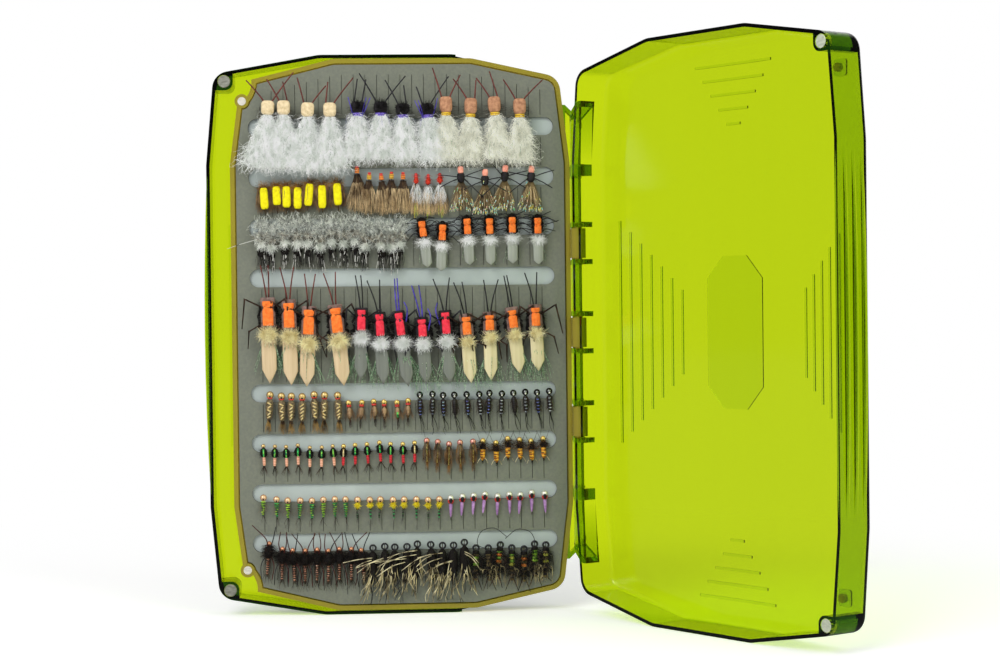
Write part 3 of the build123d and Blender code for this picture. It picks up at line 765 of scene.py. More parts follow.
def white_wing(fly, i):
    """Fuzzy red head, white tuft, and tipped hair behind."""
    fly.shank(11, 2.2)
    fly.body(0, 1.7, (0.5, 0.6, 0.7), "red_thread", h=2.3)
    fly.body(1.2, 4.0, (0.7, 1.0, 0.8), "red_dubbing", h=2.2, lumps=0.15)
    fly.hackle(0.4, 1.9, 70, "red_dubbing", 0.2, 0.06, 3.0)
    fly.skirt(3.8, 12.5, 200, "tipped_hair", 0.8, 3.2, 1.6, 0.075, **SLEEK)
    fly.skirt(6.8, 9.0, 60, "pale_hair", 1.4, 3.0, 2.2, 0.085, **SLEEK)
    fly.skirt(3.6, 8.6, 150, "puff_white", 0.6, 2.5, 2.9, 0.06, crinkle=0.05)
    fly.skirt(11, 6.5, 7, "lime_flash", 0.6, 1.2, 1.6, 0.14, crinkle=0.01)


def pink_head(fly, i):
    """Salmon foam head on a black thorax, with hair and bright flash behind."""
    fly.shank(14, 2.6)
    fly.block(0, 2.7, 1.1, 1.1, "salmon_foam", h=2.9, round_ends=0.4, corner=0.5)
    fly.body(2.3, 6.2, (1.35, 1.5, 1.4, 1.1), "black_foam", h=2.8, sides=8)
    fly.hackle(4, 3.0, 26, "black_fibre", 0.4)
    fly.skirt(5.6, 11.6, 170, "dark_deer_hair", 0.9, 4.4, 2.0, 0.09, **STIFF)
    fly.skirt(7.6, 9.0, 60, "pale_hair", 1.5, 4.2, 2.8, 0.08, **STIFF)
    across = fly.rng.uniform(-4.6, 4.6, 44)
    down = 16.2 - fly.rng.exponential(2.2, 44)
    roots = np.stack([across * (down / 16), down, 3.6 + fly.rng.uniform(0, 0.9, 44)], -1)
    fly.strands(roots, roots + np.stack([across * 0.12, np.full(44, 1.2), np.zeros(44)], -1),
        "bright_flash", 0.22)
    for flank in fly.sides():
        up, down = fly.rng.uniform(1, 7), fly.rng.uniform(1, 7)
        flank.leg([(1, 4.0, 3.6), (4.4, 4.0 - up * 0.5, 4.2), (8.4, 4.0 - up, 3.8)], "black_rubber", 0.24)
        flank.leg([(1, 4.6, 3.6), (4.2, 5 + down * 0.5, 4.6), (8.0, 6 + down, 4.0)], "black_rubber", 0.24)


def grizzly_fly(fly, i):
    """Fuzzy grey fly: barred hackle and a pale tuft over a black tail with barred legs."""
    fly.shank(10, 2.2)
    rise = fly.rng.uniform(-1.2, 0.9)
    high = fly.raised(0.8)
    high.puff(0.2 + rise, 4.6, 110, "pale_grizzly", 0.11, -0.1, 0.9, **CURLED)
    high.puff(0.2 + rise, 4.4, 42, "black_fibre", 0.066, 0.0, 0.9, **CURLED)
    high.puff(fly.rng.uniform(-1, 1.5) + rise, 3.0, 75, "puff_grey", 0.11, -0.1, 0.8, **CURLED)
    high.puff(4.4 + rise, 3.6, 66, "warm_grizzly", 0.088, 0.0, 1.0, crinkle=0.06)
    high.puff(4.0 + rise, 4.2, 50, "pale_grizzly", 0.088, 0.1, 1.0, **CURLED)
    high.puff(7.0 + rise, 2.7, 158, "puff_grey", 0.077, 0.35, 0.9, crinkle=0.05)
    fly.hackle(2.0 + rise, 4.2, 50, "black_fibre", 0.2, 0.06, 5, crinkle=0.05)
    fly.body(8.6 + rise, 12.2 + rise, (1.4, 1.7, 1.0), "black_dubbing", h=1.4, lumps=0.1)
    fly.skirt(9.5 + rise, 8.0, 30, "black_fibre", 1.1, 2.0, 0.8, 0.09, crinkle=0.02)
    fly.skirt(9.5 + rise, 8.0, 24, "grey_fibre", 1.1, 2.2, 0.5, 0.08, crinkle=0.02)
    fly.skirt(9.0 + rise, 9.5, 4, "barred_leg", 1.2, 3.0, 2.4, 0.2, crinkle=0.01)
    if i < 3:
        side = (-1, -1, 1)[i]
        fly.strands([(side, 5, 3.0)], [(side * (13, 3, 5)[i], (8.5, -7, -7)[i], 3.0)], "barred_leg", 0.17,
            bow=0.02)


def orange_post(fly, i):
    """Orange foam strip over a black body, white tuft and a clear grey wing."""
    fly.shank(11, 2.4)
    fly.body(-1.6, 10, (1.2, 1.6, 1.5, 1.0), "black_dubbing", lumps=0.08)
    fly.body(-1.4, 6.5, (1.8, 2.2, 2.0), "black_dubbing", h=1.2, flat=0.4, lumps=0.1)
    fly.hackle(-1.4, 4.6, 220, "black_fibre", 0.15, 0.075, 7.5)
    fly.block(0, 5.8, 1.3, 0.7, "orange_foam", h=3.2, pinch=0.42)
    fly.wing(7.6, 17.4, 1.9, "clear_wing", 2.6, 0.16)
    fly.raised(0.8).puff(7.8, 3.0, 240, "puff_white", 0.055, 0.12, 1.1, climb=0.9)
    fly.skirt(10, 7.5, 12, "green_flash", 0.9, 2.8, 1.0, 0.08)
    for flank in fly.sides():
        for s, away in ((-0.5, 5.0), (1.0, 7.4), (3.0, 8.0), (5.0, 6.6)):
            drop = fly.rng.uniform(-2.0, 2.0)
            flank.leg([(0.9, s, 2.8), (away * 0.5, s - 0.8, 3.6), (away, s + drop, 2.6)], "black_rubber",
                0.22)


def foam_hopper(fly, foam, strip, strip_half, strip_at, strip_long, puff, wing, long, legs, half, wing_half,
                feeler, tuft):
    """Hopper: foam body, bright strip pinched on it, tuft, pointed wing, and kneed legs."""
    fly.shank(17, 3.2)
    fly.body(0, 22, (1.3, 1.9, 1.8, 1.5, 1.0), "black_dubbing", lumps=0.06)
    after = strip_at + strip_long
    fly.body(1.5, after + 3.8, (2.6, 3.6, 3.8, 3.0), "black_dubbing", h=1.0, flat=0.25, lumps=0.12)
    fly.hackle(1.0, 4.6, 330, "black_fibre", 0.15, 0.085, 11)
    fly.hackle(after - 5, 5.4, 26, "grey_fibre", 0.15, 0.07, 6)
    fly.block(0, after + 1.6, half, 1.1, foam, h=3.0, pinch=0.36, round_ends=0.04)
    fly.block(strip_at, after, strip_half, 0.6, strip, h=4.3, pinch=0.27, round_ends=0.03)
    for at, reach in ((strip_at + strip_long * 0.27, half), (after - 0.9, strip_half)):
        fly.tube([(-reach, at, 3.0), (-reach * 0.6, at, 4.5), (reach * 0.6, at, 4.5), (reach, at, 3.0)],
            0.1, "black_thread")
    fly.skirt(17, 14, 30, "green_flash", 2.4, 6.4, 1.2, 0.1, crinkle=0.01, bow=0.02)
    fly.wing(after + 2.2, long, wing_half, wing, 3.2, 0.27)
    core = np.array([1.8, 2.8, 2.2]) * tuft / 4.4
    # The tuft's core body is a darker copy of the tuft's colour: painted shade for the inside of the tuft.
    fly.body(after + 1.4, after + 1.1 + tuft, core, puff + "_core", h=4.0, flat=0.6, lumps=0.1)
    fly.raised(2.2).puff(after + 0.4 + 0.6 * tuft, tuft, int(110 * tuft), puff, 0.075, 0.1, 0.95, climb=1.2,
        crinkle=0.05)
    for flank in fly.sides():
        knee, foot = fly.rng.uniform(5.0, 8.5), fly.rng.uniform(6.5, 11)
        flank.bent([(1.6, 4.0, 3.0), (knee, 0.5, 4.6), (foot, 11.5, 3.0)], legs, 0.42)
        flank.bent([(1.6, 9.5, 3.0), (knee * 0.85, 12.5, 4.0), (foot - 2, 19, 2.4)], legs, 0.36)
        lean = fly.rng.uniform(-1.5, 3.2)
        flank.leg([(0.4, 0.8, 3.0), (0.7 + lean * 0.3, -5, 3.4), (1.0 + lean, -12, 3.0)], feeler, 0.32)


def tan_foam_hopper(fly, i):
    fly.lean = (0.017, 0.024, -0.043, 0.104)[i]
    foam_hopper(fly, "brown_foam", "orange_foam", 2.0, 1.4, 9.2, "puff_yellow", "cream_wing",
        (32, 32, 30, 30.5)[i], "dark_fibre", 2.75, 2.75, "brown_rubber", 4.4)


def black_foam_hopper(fly, i):
    fly.lean = (-0.02, 0.055, 0.126, 0.067, 0.066)[i]
    feeler = "purple_rubber" if i in (2, 3) else "black_rubber"
    foam_hopper(fly, "black_foam", "red_foam", 1.5, 0.9, (7.6, 8.0, 8.4, 6.4, 8.0)[i], "puff_white",
        "grey_wing", (26.8, 27, 28.6, 25, 27.3)[i], "black_rubber", 2.4, 2.45, feeler, 3.7)
    if i in (2, 3, 4):
        fly.leg(fly.either((1.6, 7.0, 3.2), (3.4, 0.5, 4.4), (2.6, -3.0, 4.0)), "purple_rubber", 0.3)


def cream_foam_hopper(fly, i):
    fly.lean = (0.073, 0.02, 0.122, 0.044)[i]
    foam_hopper(fly, "brown_foam", "orange_foam", 1.6, 1.3, (6.6, 5.6, 6.6, 6.8)[i], "puff_yellow",
        "pale_wing", (26, 25.7, 25, 25)[i], "dark_fibre", 2.5, 2.5, "black_rubber", 3.3)


def nymph(fly, bead, radius, body, length, widths, tail, tail_long, tail_count, tail_fan):
    """Bead, tapered body and tail fibres that every small nymph is built up from."""
    fly.shank(length * 0.9, 2.0)
    # The spot on the bead is a painted highlight on black beads and a painted dark reflection on the
    # others.
    fly.bead(radius, bead, "pale_bead" if bead == "black_bead" else "black_foam")
    fly.body(2 * radius - 0.3, length, widths, body, lumps=0.02)
    fly.skirt(length - 0.7, tail_long, tail_count, tail, 0.25, tail_fan, 0.4, 0.075, crinkle=0.02)


def beads_along(fly, s0, s1, count, radius, body, finish, side=0.0):
    """Bright spots in a row down the body's front, where turns of wire catch the light."""
    for s in np.linspace(s0, s1, count):
        swing = side * fly.rng.choice([-1, 1])
        fly.rod([(swing - radius, s, fly.lift + body * 0.8), (swing, s + 0.08, fly.lift + body + 0.12),
            (swing + radius, s, fly.lift + body * 0.8)], 0.17, finish)


def gold_rib_nymph(fly, i):
    nymph(fly, "bronze_bead", 1.4, "grey_dubbing", 11.0, (1.15, 1.45, 1.3, 0.9), "pheasant", 6.0, 44, 1.5)
    fly.body(2.0, 2.9, (1.0, 1.1, 1.0), "red_thread")
    fly.hackle(3.0, 2.1, 150, "grey_brown_fibre", 0.5, 0.06, 7)
    for k, s in enumerate((4.6, 5.9, 7.2, 8.5, 9.6)):
        reach, slope = fly.rng.uniform(0.5, 0.8) - 0.05 * k, fly.rng.choice([-0.35, 0.35, 0.5])
        fly.rod([(-reach, s + slope, fly.lift + 1.2), (0, s, fly.lift + 1.5),
            (reach, s - slope, fly.lift + 1.2)], 0.3, "gold_wire")
    fly.skirt(10.0, 2.4, 26, "dark_fibre", 0.4, 0.9, 1.0, 0.09)


def small_brown_nymph(fly, i):
    nymph(fly, "gold_bead", 1.05, "brown_dubbing", 7.6, (0.7, 0.9, 0.5), "dark_fibre", 4.6, 16, 0.5)
    fly.body(1.7, 2.7, (0.8, 0.95, 0.8), "red_thread")
    fly.body(2.6, 6.8, (0.6, 0.9, 0.9, 0.5), "tan_wing", h=fly.lift + 0.3, lumps=0.08)
    fly.hackle(2.2, 2.2, 60, "soft_brown", 2.2, 0.06, 1.5)
    fly.skirt(2.4, 5.0, 26, "grey_brown_fibre", 0.5, 1.0, 1.2, 0.07)
    if i == 4:
        fly.rod([(0, 4.6, fly.lift + 1.2), (0, 6.6, fly.lift + 0.9)], 0.4, "green_tinsel", 6, flat=0.4)


def black_rib_nymph(fly, i):
    fly.lean += 0.05
    nymph(fly, "black_bead", 1.3, "black_thread", 9.4, (0.85, 1.0, 0.85, 0.6), "black_fibre", 2.0, 8, 0.6)
    fly.hackle(2.4, 2.0, 60, "dark_fibre", 1.0, 0.06, 5)
    fly.skirt(2.8, 7.0, 18, "dark_fibre", 0.9, 1.5, 0.3, 0.08)
    if i not in (3, 8):
        beads_along(fly, 3.8, 8.6, 5, 0.42, 0.95, ("blue_wire", "pale_wire")[i % 2])
    for _ in range(3):
        bend = fly.rng.uniform(0.2, 2.0)
        fly.strands([(0, 9.0, fly.lift)], [(bend, fly.rng.uniform(14.5, 17), 0.8)], "black_fibre", 0.19,
            bow=0.04)


def winged_nymph(fly, bead, thorax_stripe, abdomen, radius):
    """Small nymph: black thorax with a bright stripe, slim bright abdomen, forked tail."""
    fly.shank(7.6, 2.0)
    fly.bead(radius, bead)
    fly.body(1.3, 5.0, (0.7, 1.25, 1.35, 1.0), "black_dubbing", lumps=0.05)
    fly.body(4.6, 8.3, (0.58, 0.58, 0.5), abdomen)
    fly.rod([(0, 1.9, fly.lift + 1.0), (0, 3.2, fly.lift + 1.35), (0, 4.8, fly.lift + 1.2)], 0.28,
        thorax_stripe, 6, flat=0.4)
    fly.hackle(1.6, 2.0, 60, "black_fibre", 0.5, 0.08, 2.4)
    for side in (-1, 1):
        spread = side * fly.rng.uniform(0.5, 1.9)
        tips = [(spread, 11.4, 1.0), (spread * 0.7, 11.8, 1.2), (spread * 1.2, 11.0, 1.2)]
        fly.strands([(0, 7.8, fly.lift)] * 3, tips, "dark_fibre", 0.19, bow=0.03, crinkle=0.005)
    fly.body(7.5, 8.5, (0.5, 0.4, 0.2), "brown_thread")


def copper_nymph(fly, i):
    winged_nymph(fly, "bronze_bead", "green_tinsel", "salmon_wire", 0.8)


def red_nymph(fly, i):
    winged_nymph(fly, "gold_bead", "gold_wire" if i in (0, 6) else "green_tinsel", "red_wire", 0.9)


def brown_nymph(fly, i):
    body = ("brown_dubbing", "olive_dubbing")[i > 2]
    nymph(fly, "pink_bead", 1.15, body, 9.4, (0.7, 0.95, 0.8, 0.5), "brown_fibre", 4.4, 18, 0.7)
    fly.skirt(1.6, 9.0, 60, "brown_fibre", 0.9, 1.6, 1.2, 0.08, crinkle=0.04)
    fly.skirt(1.6, 8.0, 60, "grey_brown_fibre", 0.9, 1.7, 1.2, 0.08, crinkle=0.04)
    fly.hackle(2.0, 2.2, 40, "soft_brown", 1.2, 0.06, 2)
    fly.rod([(0, 2.4, fly.lift + 0.8), (0, 5, fly.lift + 1.1), (0, 9, fly.lift + 0.6)], 0.2, "olive_gold",
        5, flat=0.6)


def orange_nymph(fly, i):
    nymph(fly, "gold_bead", 1.05, "orange_floss", 8.4, (0.8, 0.95, 0.95, 0.8), "black_fibre", 2.2, 12, 0.4)
    fly.body(2.0, 4.5, (1.0, 1.2, 1.1), "black_dubbing", lumps=0.1)
    fly.hackle(0.8, 3.2, 130, "dark_fibre", 0.2, 0.07, 3.2)
    fly.hackle(1.0, 3.0, 40, "soft_brown", 0.4, 0.07, 3.0)
    beads_along(fly, 5.2, 7.8, 4, 0.45, 0.95, "brown_thread", 0.4)
    for flank in fly.sides():
        flank.leg([(0.8, 7.4, 1.6), (1.5, 8.3, 1.8), (2.0, 9.4, 1.2)], "tan_leg", 0.14)
        flank.leg([(0.6, 1.8, 1.6), (1.4, 0.2, 2.4), (2.4, -2.2, 2.0)], "dark_fibre", 0.09)


def segments(fly, s0, s1, width0, width1, count, *finishes):
    """Body of round segments that shrink towards the tail, in turn in each finish."""
    for k in range(count):
        share = k / (count - 1)
        s = s0 + (s1 - s0) * share
        half = width0 + (width1 - width0) * share
        step = (s1 - s0) / (count - 1)
        fly.body(s - step * 0.55, s + step * 0.55, (half * 0.8, half, half * 0.8),
            finishes[k % len(finishes)], sides=8)


def green_nymph(fly, i):
    fly.shank(7, 2.0)
    fly.bead(1.25, "rose_gold_bead")
    main = "lime_thread" if i in (0, 2, 5) else "green_thread"
    segments(fly, 2.8, 7.8, 1.0, 0.4, 12, main, "dark_green_thread")
    beads_along(fly, 3.0, 6.6, 5, 0.3, 0.85, "lime_thread", 0.3)
    fly.hackle(2.2, 2.4, 46, "grey_brown_fibre", 1.0, 0.05, 3)
    for _ in range(3):
        fly.strands([(0, 7.6, 1.3)], [(fly.rng.uniform(-1.6, 1.6), fly.rng.uniform(10.5, 12.5), 0.8)],
            "dark_fibre", 0.11, bow=0.08)


def yellow_collar_nymph(fly, i):
    fly.shank(7, 2.0)
    fly.bead(1.3, "rose_gold_bead")
    fly.body(2.2, 4.4, (0.6, 1.1, 0.6), "yellow_dubbing", lumps=0.1)
    fly.puff(3.2, 1.5, 110, "yellow_dubbing", 0.09, 0.05, 1.0, crinkle=0.05)
    segments(fly, 4.2, 7.9, 0.62, 0.35, 7, "green_thread" if i % 2 else "dark_green_thread", "black_thread")
    fly.hackle(4.4, 1.5, 20, "grey_fibre", 1.2, 0.05)
    fly.skirt(7.6, 4.0, 8, "grey_fibre", 0.2, 0.8, 0.4, 0.08)


def purple_nymph(fly, i):
    fly.shank(8, 2.0)
    fly.bead(1.25, "pale_bead", None)
    fly.body(1.0, 3.3, (0.25, 0.72, 0.62, 0.3), "black_foam", h=fly.lift + 0.9, sides=8)
    fly.body(1.6, 3.4, (1.22, 1.15, 0.8), "red_thread", h=fly.lift - 0.1)
    fly.body(3.0, 8.6, (0.72, 0.66, 0.5, 0.25), "purple_floss")
    fly.skirt(8.0, 1.9, 6, "grey_fibre", 0.15, 0.12, 0.4, 0.1)


def stonefly_nymph(fly, i):
    fly.shank(12, 2.0)
    fly.bead(0.9, "copper_bead")
    fly.body(1.5, 6.6, (1.0, 1.6, 1.6, 1.1), "black_dubbing", lumps=0.08)
    fly.hackle(1.2, 3.2, 190, "black_fibre", 0.3, 0.09, 4.4, crinkle=0.05)
    fly.hackle(1.2, 3.4, 90, "dark_fibre", 0.3, 0.08, 5.0, crinkle=0.05)
    segments(fly, 6.6, 12.2, 0.8, 0.5, 9, "brown_thread", "black_thread")
    beads_along(fly, 6.8, 11.8, 7, 0.4, 0.6, "copper_wire")
    fly.skirt(6.0, 9, 16, "dark_fibre", 0.8, 1.6, -0.4, 0.09)
    for side in (-1, 1):
        lean = fly.rng.uniform(0.5, 7)
        fly.leg([(side * 0.6, 2.4, 2.4), (side * 1.4, -1, 3.2), (side * lean, -5.6, 2.8)],
            ("dark_red_rubber", "black_rubber")[int(fly.rng.integers(2))], 0.24)
        fly.leg([(side * 0.9, 5.5, 2.0), (side * 2.4, 9, 2.8),
            (side * fly.rng.uniform(1.5, 3.8), 14.5, 1.2)],
            "dark_red_rubber" if side > 0 else "black_rubber", 0.22)
        fly.strands([(side * 0.3, 12, 1.5)] * 2, [(side * 0.9, 16.5, 0.8), (side * 1.7, 16, 0.8)],
            "dark_fibre", 0.12)


def ring_eye(fly, radius, wire):
    turn = np.linspace(0, 2 * math.pi, 17)
    eye = np.stack([radius * np.sin(turn), radius - radius * np.cos(turn), np.full(17, fly.lift + 0.4)], -1)
    fly.tube(eye, wire, "black_rubber", 7)


def black_leg_fly(fly, i):
    """Large black nymph under a tangle of thin mottled rubber legs."""
    fly.shank(12, 2.6)
    ring_eye(fly, 1.1, 0.38)
    fly.body(2.2, 14.6, (1.3, 1.8, 1.8, 1.6, 1.0), "black_dubbing", h=fly.lift + 0.5, lumps=0.05)
    fly.hackle(2.4, 3.4, 120, "black_fibre", 0.5, 0.065, 8)
    fly.skirt(8, 6, 40, "dark_fibre", 1.0, 2.2, 1.0, 0.07)
    for k in range(17):
        side, s = fly.rng.choice([-1, -1, 1]), fly.rng.uniform(5, 13)
        away, down = fly.rng.uniform(-1, 5.5), fly.rng.uniform(6, 12)
        bend = fly.rng.normal(0, 0.5, 2)
        fly.leg([(side * 0.8, s - 2, 2.6), (side * away * 0.4 + bend[0], s + down * 0.35, 3.6),
            (side * away * 0.8 + bend[1], s + down * 0.7, 3.0), (side * away, min(s + down, 22.5), 1.6)],
            ("mottled_leg", "black_rubber", "mottled_leg", "tan_leg")[k % 4], 0.15)
    for k in range(2):
        side, s = (1 if i == 8 else -1), fly.rng.uniform(3, 7)
        reach, down = fly.rng.uniform(5, 12), fly.rng.uniform(2, 8)
        fly.leg([(0, s, 3.6), (side * reach * 0.5, s + down * 0.3, 4.8), (side * reach, s + down, 3.6)],
            "tan_leg", 0.18)


def green_bug(fly, i):
    """Segmented olive body with a coloured front, in dark mottled hackle, with dark legs."""
    first = ("lime_thread", "grey_dubbing", "orange_thread", "yellow_olive", "orange_thread", "lime_thread",
        "yellow_olive")[i]
    tail = 14.8 if i == 6 else 17.2      # the last one stays clear of the closed lid's end
    fly.shank(11, 2.2)
    ring_eye(fly, 1.05, 0.42)
    fly.body(1.8, 3.6, (1.1, 1.3, 1.1), "black_dubbing")
    segments(fly, 3.6, 7.2, 1.15, 1.3, 4, "green_dubbing" if i in (2, 3, 5) else "olive_dubbing", first)
    segments(fly, 7.8, 13.0, 1.15, 0.6, 7, "olive_dubbing", "black_thread")
    fly.hackle(2.4, 3.4, 290, "black_fibre", 0.5, 0.09, 8.5)
    fly.hackle(4, 3.4, 24, "grey_brown_fibre", 0.7, 0.09, 7)
    fly.skirt(8, 9.0, 11, "mottled_leg", 1.0, 3.2, 0.6, 0.1, crinkle=0.03)
    for flank in fly.sides():
        flank.leg([(0.8, 5, 2.4), (2.4, 5, 3.4), (3.2, 11, 1.6)], "dark_fibre", 0.14)
        flank.leg([(0.8, 9, 2.2), (2.4, 9.5, 3.0), (2.6, 15, 1.4)], "mottled_leg", 0.14)
        flank.bent([(0.5, 12, 1.8), (1.0, 13.5, 1.8), (2.4, tail, 1.0)], "dark_fibre", 0.22)
    if i in (1, 4):
        way = 1 if i == 4 else -1
        fly.rod(smooth([(0, 1.5, 2.4), (way * 4, -0.5, 2.6), (way * 2.5, -5.2, 2.6),
            (way * -2.5, -6.4, 2.6), (way * -7, -3.0, 2.4)]), 0.14, "black_rubber")


# row: half width of the CAD heads, height of the shanks off the foam
ROWS = {
    "row1": (2.6, 1.9), "row2": (1.4, 1.2), "row3": (1.6, 1.5), "row4": (2.4, 1.9), "row5": (1.4, 1.5),
    "row6": (1.4, 1.4), "row7": (1.3, 1.4), "row8": (1.6, 1.6),
}
# patterns whose shanks lie at another height than their row's
OWN_HEIGHTS = {"row2_pink_head_flies": 1.5, "row5_small_nymphs": 1.3}
PATTERNS = {
    "row1_cream_flies": cream_hopper, "row1_black_flies": black_hopper, "row1_tan_flies": tan_hopper,
    "row2_yellow_flies": yellow_beetle, "row2_hair_flies": hair_wing, "row2_white_wing_flies": white_wing,
    "row2_pink_head_flies": pink_head, "row3_grizzly_flies": grizzly_fly, "row3_orange_flies": orange_post,
    "row4_tan_flies": tan_foam_hopper, "row4_black_flies": black_foam_hopper,
    "row4_cream_flies": cream_foam_hopper, "row5_gold_nymphs": gold_rib_nymph,
    "row5_small_nymphs": small_brown_nymph, "row5_black_nymphs": black_rib_nymph,
    "row6_copper_nymphs": copper_nymph, "row6_red_nymphs": red_nymph, "row6_brown_nymphs": brown_nymph,
    "row6_orange_nymphs": orange_nymph, "row7_green_nymphs": green_nymph,
    "row7_yellow_nymphs": yellow_collar_nymph, "row7_purple_nymphs": purple_nymph,
    "row8_stonefly_nymphs": stonefly_nymph, "row8_black_leg_flies": black_leg_fly,
    "row8_green_nymphs": green_bug,
}
# Heads of the flies in the photo, read in enlarged crops: pixels across, then pixels down
HEADS = {
    "row1_cream_flies": ((268, 283.5, 308, 329.5), (101, 101, 103, 103)),
    "row1_black_flies": ((358, 380.5, 402, 426), (102, 102, 104, 104)),
    "row1_tan_flies": ((445.5, 470.5, 493.5, 519), (97, 98.5, 97, 99)),
    "row2_yellow_flies": ((263.5, 276.1, 286.5, 297.8, 309.8, 321.8, 336.8),
        (188.1, 186.5, 186.5, 187.5, 183.8, 185.3, 183.5)),
    "row2_hair_flies": ((357, 369.5, 380.8, 391.4, 403), (166.3, 172.8, 173.5, 171.9, 172.5)),
    "row2_white_wing_flies": ((416, 428.3, 439.5), (173, 174, 173)),
    "row2_pink_head_flies": ((460.1, 484.9, 505.1, 531.4), (166.5, 169.4, 165.4, 166)),
    "row3_orange_flies": ((421.4, 442.6, 466.6, 489.3, 512, 537.4),
        (221.3, 224.9, 218.8, 218.5, 217.3, 218.1)),
    "row4_tan_flies": ((267.6, 288.5, 309.3, 334.5), (297.4, 299.3, 306.1, 304.5)),
    "row4_black_flies": ((361.4, 378.9, 398, 421, 444.5), (307.5, 312, 310.5, 317, 310)),
    "row4_cream_flies": ((465.1, 488.9, 511, 534.5), (313.6, 311.8, 306.8, 304.3)),
    "row5_gold_nymphs": ((270.1, 281.1, 291.4, 302, 313.9, 324.5, 337.4),
        (391.3, 392.4, 392.4, 393, 391, 391.5, 391.5)),
    "row5_small_nymphs": ((348.5, 362, 373.5, 384.1, 396.8, 408.3), (400, 399.5, 398.6, 399.3, 399.6, 398)),
    "row5_black_nymphs": ((419.8, 432.6, 443, 454.1, 466.4, 478.9, 489.5, 502, 513, 525.1, 536.8, 548.9),
        (391.3, 390.5, 391.8, 391.3, 391, 390.8, 389.5, 390.3, 389.5, 388.5, 389, 387.8)),
    "row6_copper_nymphs": ((263, 274.8, 285.8, 297.6, 309.8, 321.8, 332.4),
        (444, 444.5, 444.8, 443.4, 445.5, 445.4, 444)),
    "row6_red_nymphs": ((343.5, 355.1, 366.8, 379.3, 390.5, 402.6, 414.5),
        (443.8, 442.8, 442, 440.3, 441.5, 441.8, 440.5)),
    "row6_brown_nymphs": ((426.8, 438, 449.1, 459.8, 472.9), (437.5, 438.8, 441, 439.5, 438.5)),
    "row6_orange_nymphs": ((483, 496, 507.5, 519.5, 530.8, 543), (438, 440, 435.8, 437, 438.3, 436)),
    "row7_green_nymphs": ((263.5, 276.4, 287.6, 300.5, 312, 323.3, 334.8, 345.5),
        (494.3, 496, 497.3, 497.4, 497.4, 496.3, 496, 496)),
    "row7_yellow_nymphs": ((357.6, 369.5, 380.4, 392.8, 404.5, 416.4, 427.9, 439.5),
        (496.3, 496.3, 496, 496.3, 496, 496, 496.5, 495.9)),
    "row7_purple_nymphs": ((450.8, 462.6, 473.9, 485.4, 497.6, 509.3, 520.8, 531.8, 544.5),
        (494.9, 493.3, 492.4, 491.1, 493, 491.1, 491.5, 489.5, 490.5)),
    "row8_stonefly_nymphs": ((269.5, 282.6, 292.6, 305.1, 317, 328.3, 339.3, 351.4, 360.8),
        (541, 546.6, 547.9, 548.3, 547.3, 548.5, 546.6, 546.6, 547.9)),
    "row8_black_leg_flies": ((373, 384.5, 394.9, 407, 417.6, 430.5, 442.6, 453.5, 464.3),
        (544.8, 543.5, 544, 543.5, 541, 541.6, 542.3, 542.3, 539.3)),
    "row8_green_nymphs": ((476, 488, 500.5, 511.6, 523.9, 534.5, 545.8),
        (545, 545, 542, 545, 546, 541, 542)),
}
TANGLED = 13               # grizzly flies, which can't be told apart: they stand at their even places


def in_photo(x, y, z):
    """Where the camera sees a spot given in mm: pixels across and down the photo."""
    away = np.array((x, y, z)) * MM - np.array(CAMERA_AT)
    right, up, ahead = (away @ np.array(axis) for axis in (CAMERA_RIGHT, CAMERA_UP, CAMERA_LOOKS))
    scale = LENS_MM / SENSOR_MM * PHOTO_W / ahead
    return PHOTO_W / 2 + scale * right, PHOTO_H / 2 - scale * up


def moved(x, y, z, across, down):
    """A head's even place, moved to its pixel in the photo, by whole tenths of a millimetre."""
    here = in_photo(x, y, z)
    right = (across - here[0]) / (in_photo(x + 1, y, z)[0] - here[0])
    drop = (down - here[1]) / (in_photo(x, y, z - 1)[1] - here[1])
    return x + round(right, 1), z - round(drop, 1)


def head_places(node):
    """Where each fly's head is in a run, across and up, in mm."""
    half, out = ROWS[node[:4]]
    low, high = (np.array(corner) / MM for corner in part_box(node))
    count = len(HEADS[node][0]) if node in HEADS else TANGLED
    even = np.linspace(low[0] + half, high[0] - half, count)
    if node not in HEADS:
        return [(x, high[2]) for x in even]
    return [moved(x, FOAM_FRONT - out, high[2], *head) for x, *head in zip(even, *HEADS[node])]


def tie_flies():
    for number, (node, pattern) in enumerate(PATTERNS.items()):
        rng = np.random.default_rng(FIRST_SEED + number)
        piece, lift = Piece(), OWN_HEIGHTS.get(node, ROWS[node[:4]][1])
        for i, (x, z) in enumerate(head_places(node)):
            pattern(Fly(piece, x, z, rng, lift), i)
        thing = piece.finish_as(node + "_dressed")
        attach(thing, "leaf")
        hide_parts(node)


def finish_nodes():
    for name, material in FINISHES.items():
        NODES[name].data.materials.clear()
        NODES[name].data.materials.append(material)


# ---- floor, light and camera --------------------------------------------------------

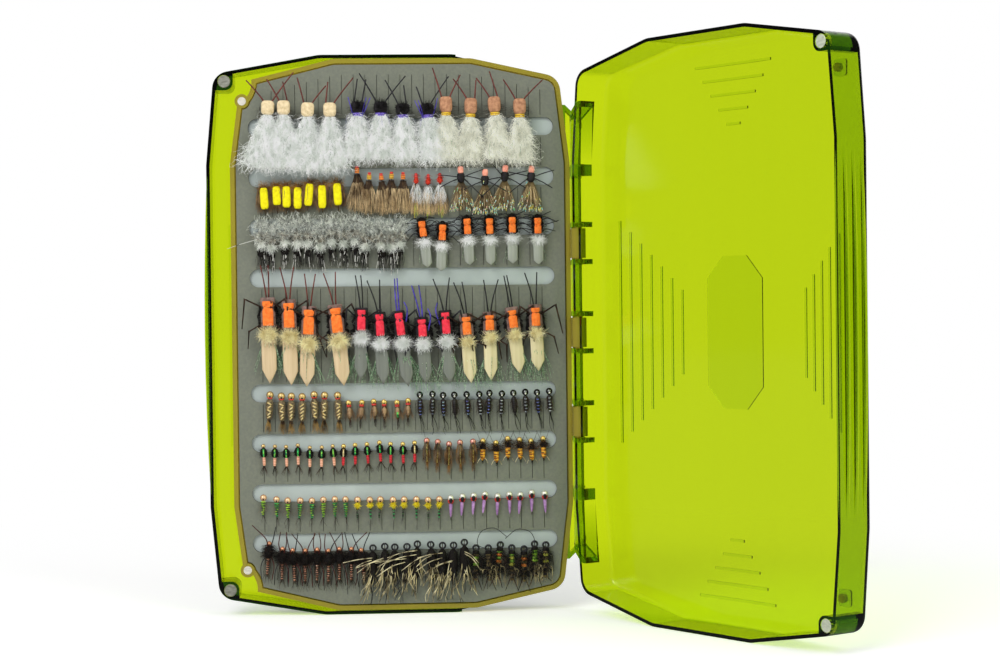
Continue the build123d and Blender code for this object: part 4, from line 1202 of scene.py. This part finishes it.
def white_floor():
    """White floor that takes soft shadows by the box and burns out to pure white beyond."""
    bpy.ops.mesh.primitive_circle_add(vertices=64, radius=FLOOR_R, fill_type="NGON",
        location=(0, 0, -FLOOR_DROP * MM))
    floor = bpy.context.object
    floor.name = "floor"
    material, s = new_material("white_floor")
    rays = s.add("ShaderNodeLightPath")
    seen = s.maths("MAXIMUM", rays.outputs["Is Camera Ray"], rays.outputs["Is Transmission Ray"])
    paint = s.add("ShaderNodeBsdfDiffuse", {"Color": (*(FLOOR_WHITE,) * 3, 1)})
    lifted = s.add("ShaderNodeEmission", {"Color": (1, 1, 1, 1)},
        {"Strength": s.maths("MULTIPLY", seen, FLOOR_LIFT)})
    near = s.add("ShaderNodeAddShader", links={0: paint.outputs[0], 1: lifted.outputs[0]})
    glow = s.add("ShaderNodeEmission", {"Color": (1, 1, 1, 1), "Strength": 1.0})
    place = s.add("ShaderNodeTexCoord")
    away = s.add("ShaderNodeVectorMath", links={0: place.outputs["Object"]}, operation="LENGTH")
    share = s.add("ShaderNodeMapRange", {1: FLOOR_NEAR, 2: FLOOR_FAR, 3: 0.0, 4: 1.0},
        {0: away.outputs["Value"]}, interpolation_type="SMOOTHSTEP")
    lit = s.mixed(s.maths("MULTIPLY", seen, share.outputs[0]), near.outputs[0], glow.outputs[0])
    dim = s.add("ShaderNodeEmission", {"Color": (1, 1, 1, 1), "Strength": DIM_FLOOR})
    mirrored = s.maths("GREATER_THAN", s.maths("SUBTRACT", rays.outputs["Is Glossy Ray"], seen), 0.5)
    s.surface(s.mixed(mirrored, lit, dim.outputs[0]))
    floor.data.materials.append(material)


def studio_world():
    """Even light. The camera and clear plastic see white; gloss sees the white wall
    far behind the box and the dim room round it."""
    world = bpy.data.worlds.new("studio")
    bpy.context.scene.world = world
    world.use_nodes = True
    s = Shader(world.node_tree, "ShaderNodeOutputWorld")
    rays = s.add("ShaderNodeLightPath")
    place = s.add("ShaderNodeTexCoord")
    direction = s.add("ShaderNodeSeparateXYZ", links={"Vector": place.outputs["Generated"]})
    wall = s.add("ShaderNodeMapRange", {1: WALL_FROM, 2: WALL_FULL, 3: DIM_ROOM, 4: 1.0},
        {0: direction.outputs["Y"]})
    even = s.maths("MULTIPLY", s.maths("SUBTRACT", 1.0, rays.outputs["Is Glossy Ray"]), EVEN_LIGHT)
    level = s.maths("ADD", even, s.maths("MULTIPLY", wall.outputs[0], rays.outputs["Is Glossy Ray"]))
    seen = s.maths("MAXIMUM", rays.outputs["Is Camera Ray"], rays.outputs["Is Transmission Ray"])
    strength = s.maths("MAXIMUM", level, seen)
    s.surface(s.add("ShaderNodeBackground", {"Color": (1, 1, 1, 1)}, {"Strength": strength}).outputs[0])


def softbox(name, at, size, watts):
    lamp = bpy.data.lights.new(name, "AREA")
    lamp.shape, lamp.size, lamp.size_y, lamp.energy = "RECTANGLE", size[0], size[1], watts
    thing = bpy.data.objects.new(name, lamp)
    bpy.context.scene.collection.objects.link(thing)
    thing.location = at
    thing.rotation_euler = (Vector(LIGHTS_AIM) - Vector(at)).to_track_quat("-Z", "Y").to_euler()


def photo_camera():
    camera = bpy.data.cameras.new("photo_camera")
    camera.lens, camera.sensor_width = LENS_MM, SENSOR_MM
    thing = bpy.data.objects.new("photo_camera", camera)
    bpy.context.scene.collection.objects.link(thing)
    turn = Matrix((CAMERA_RIGHT, CAMERA_UP, -CAMERA_LOOKS)).transposed()
    thing.matrix_world = Matrix.Translation(CAMERA_AT) @ turn.to_4x4()
    bpy.context.scene.camera = thing


finish_nodes()
tie_flies()
white_floor()
studio_world()
softbox("key_light", (-0.7, -1.1, 1.0), (0.9, 0.9), 13.5)
softbox("fill_light", (0.9, -1.0, 0.8), (0.8, 0.8), 6)
photo_camera()
bpy.context.scene.view_settings.view_transform = "Standard"
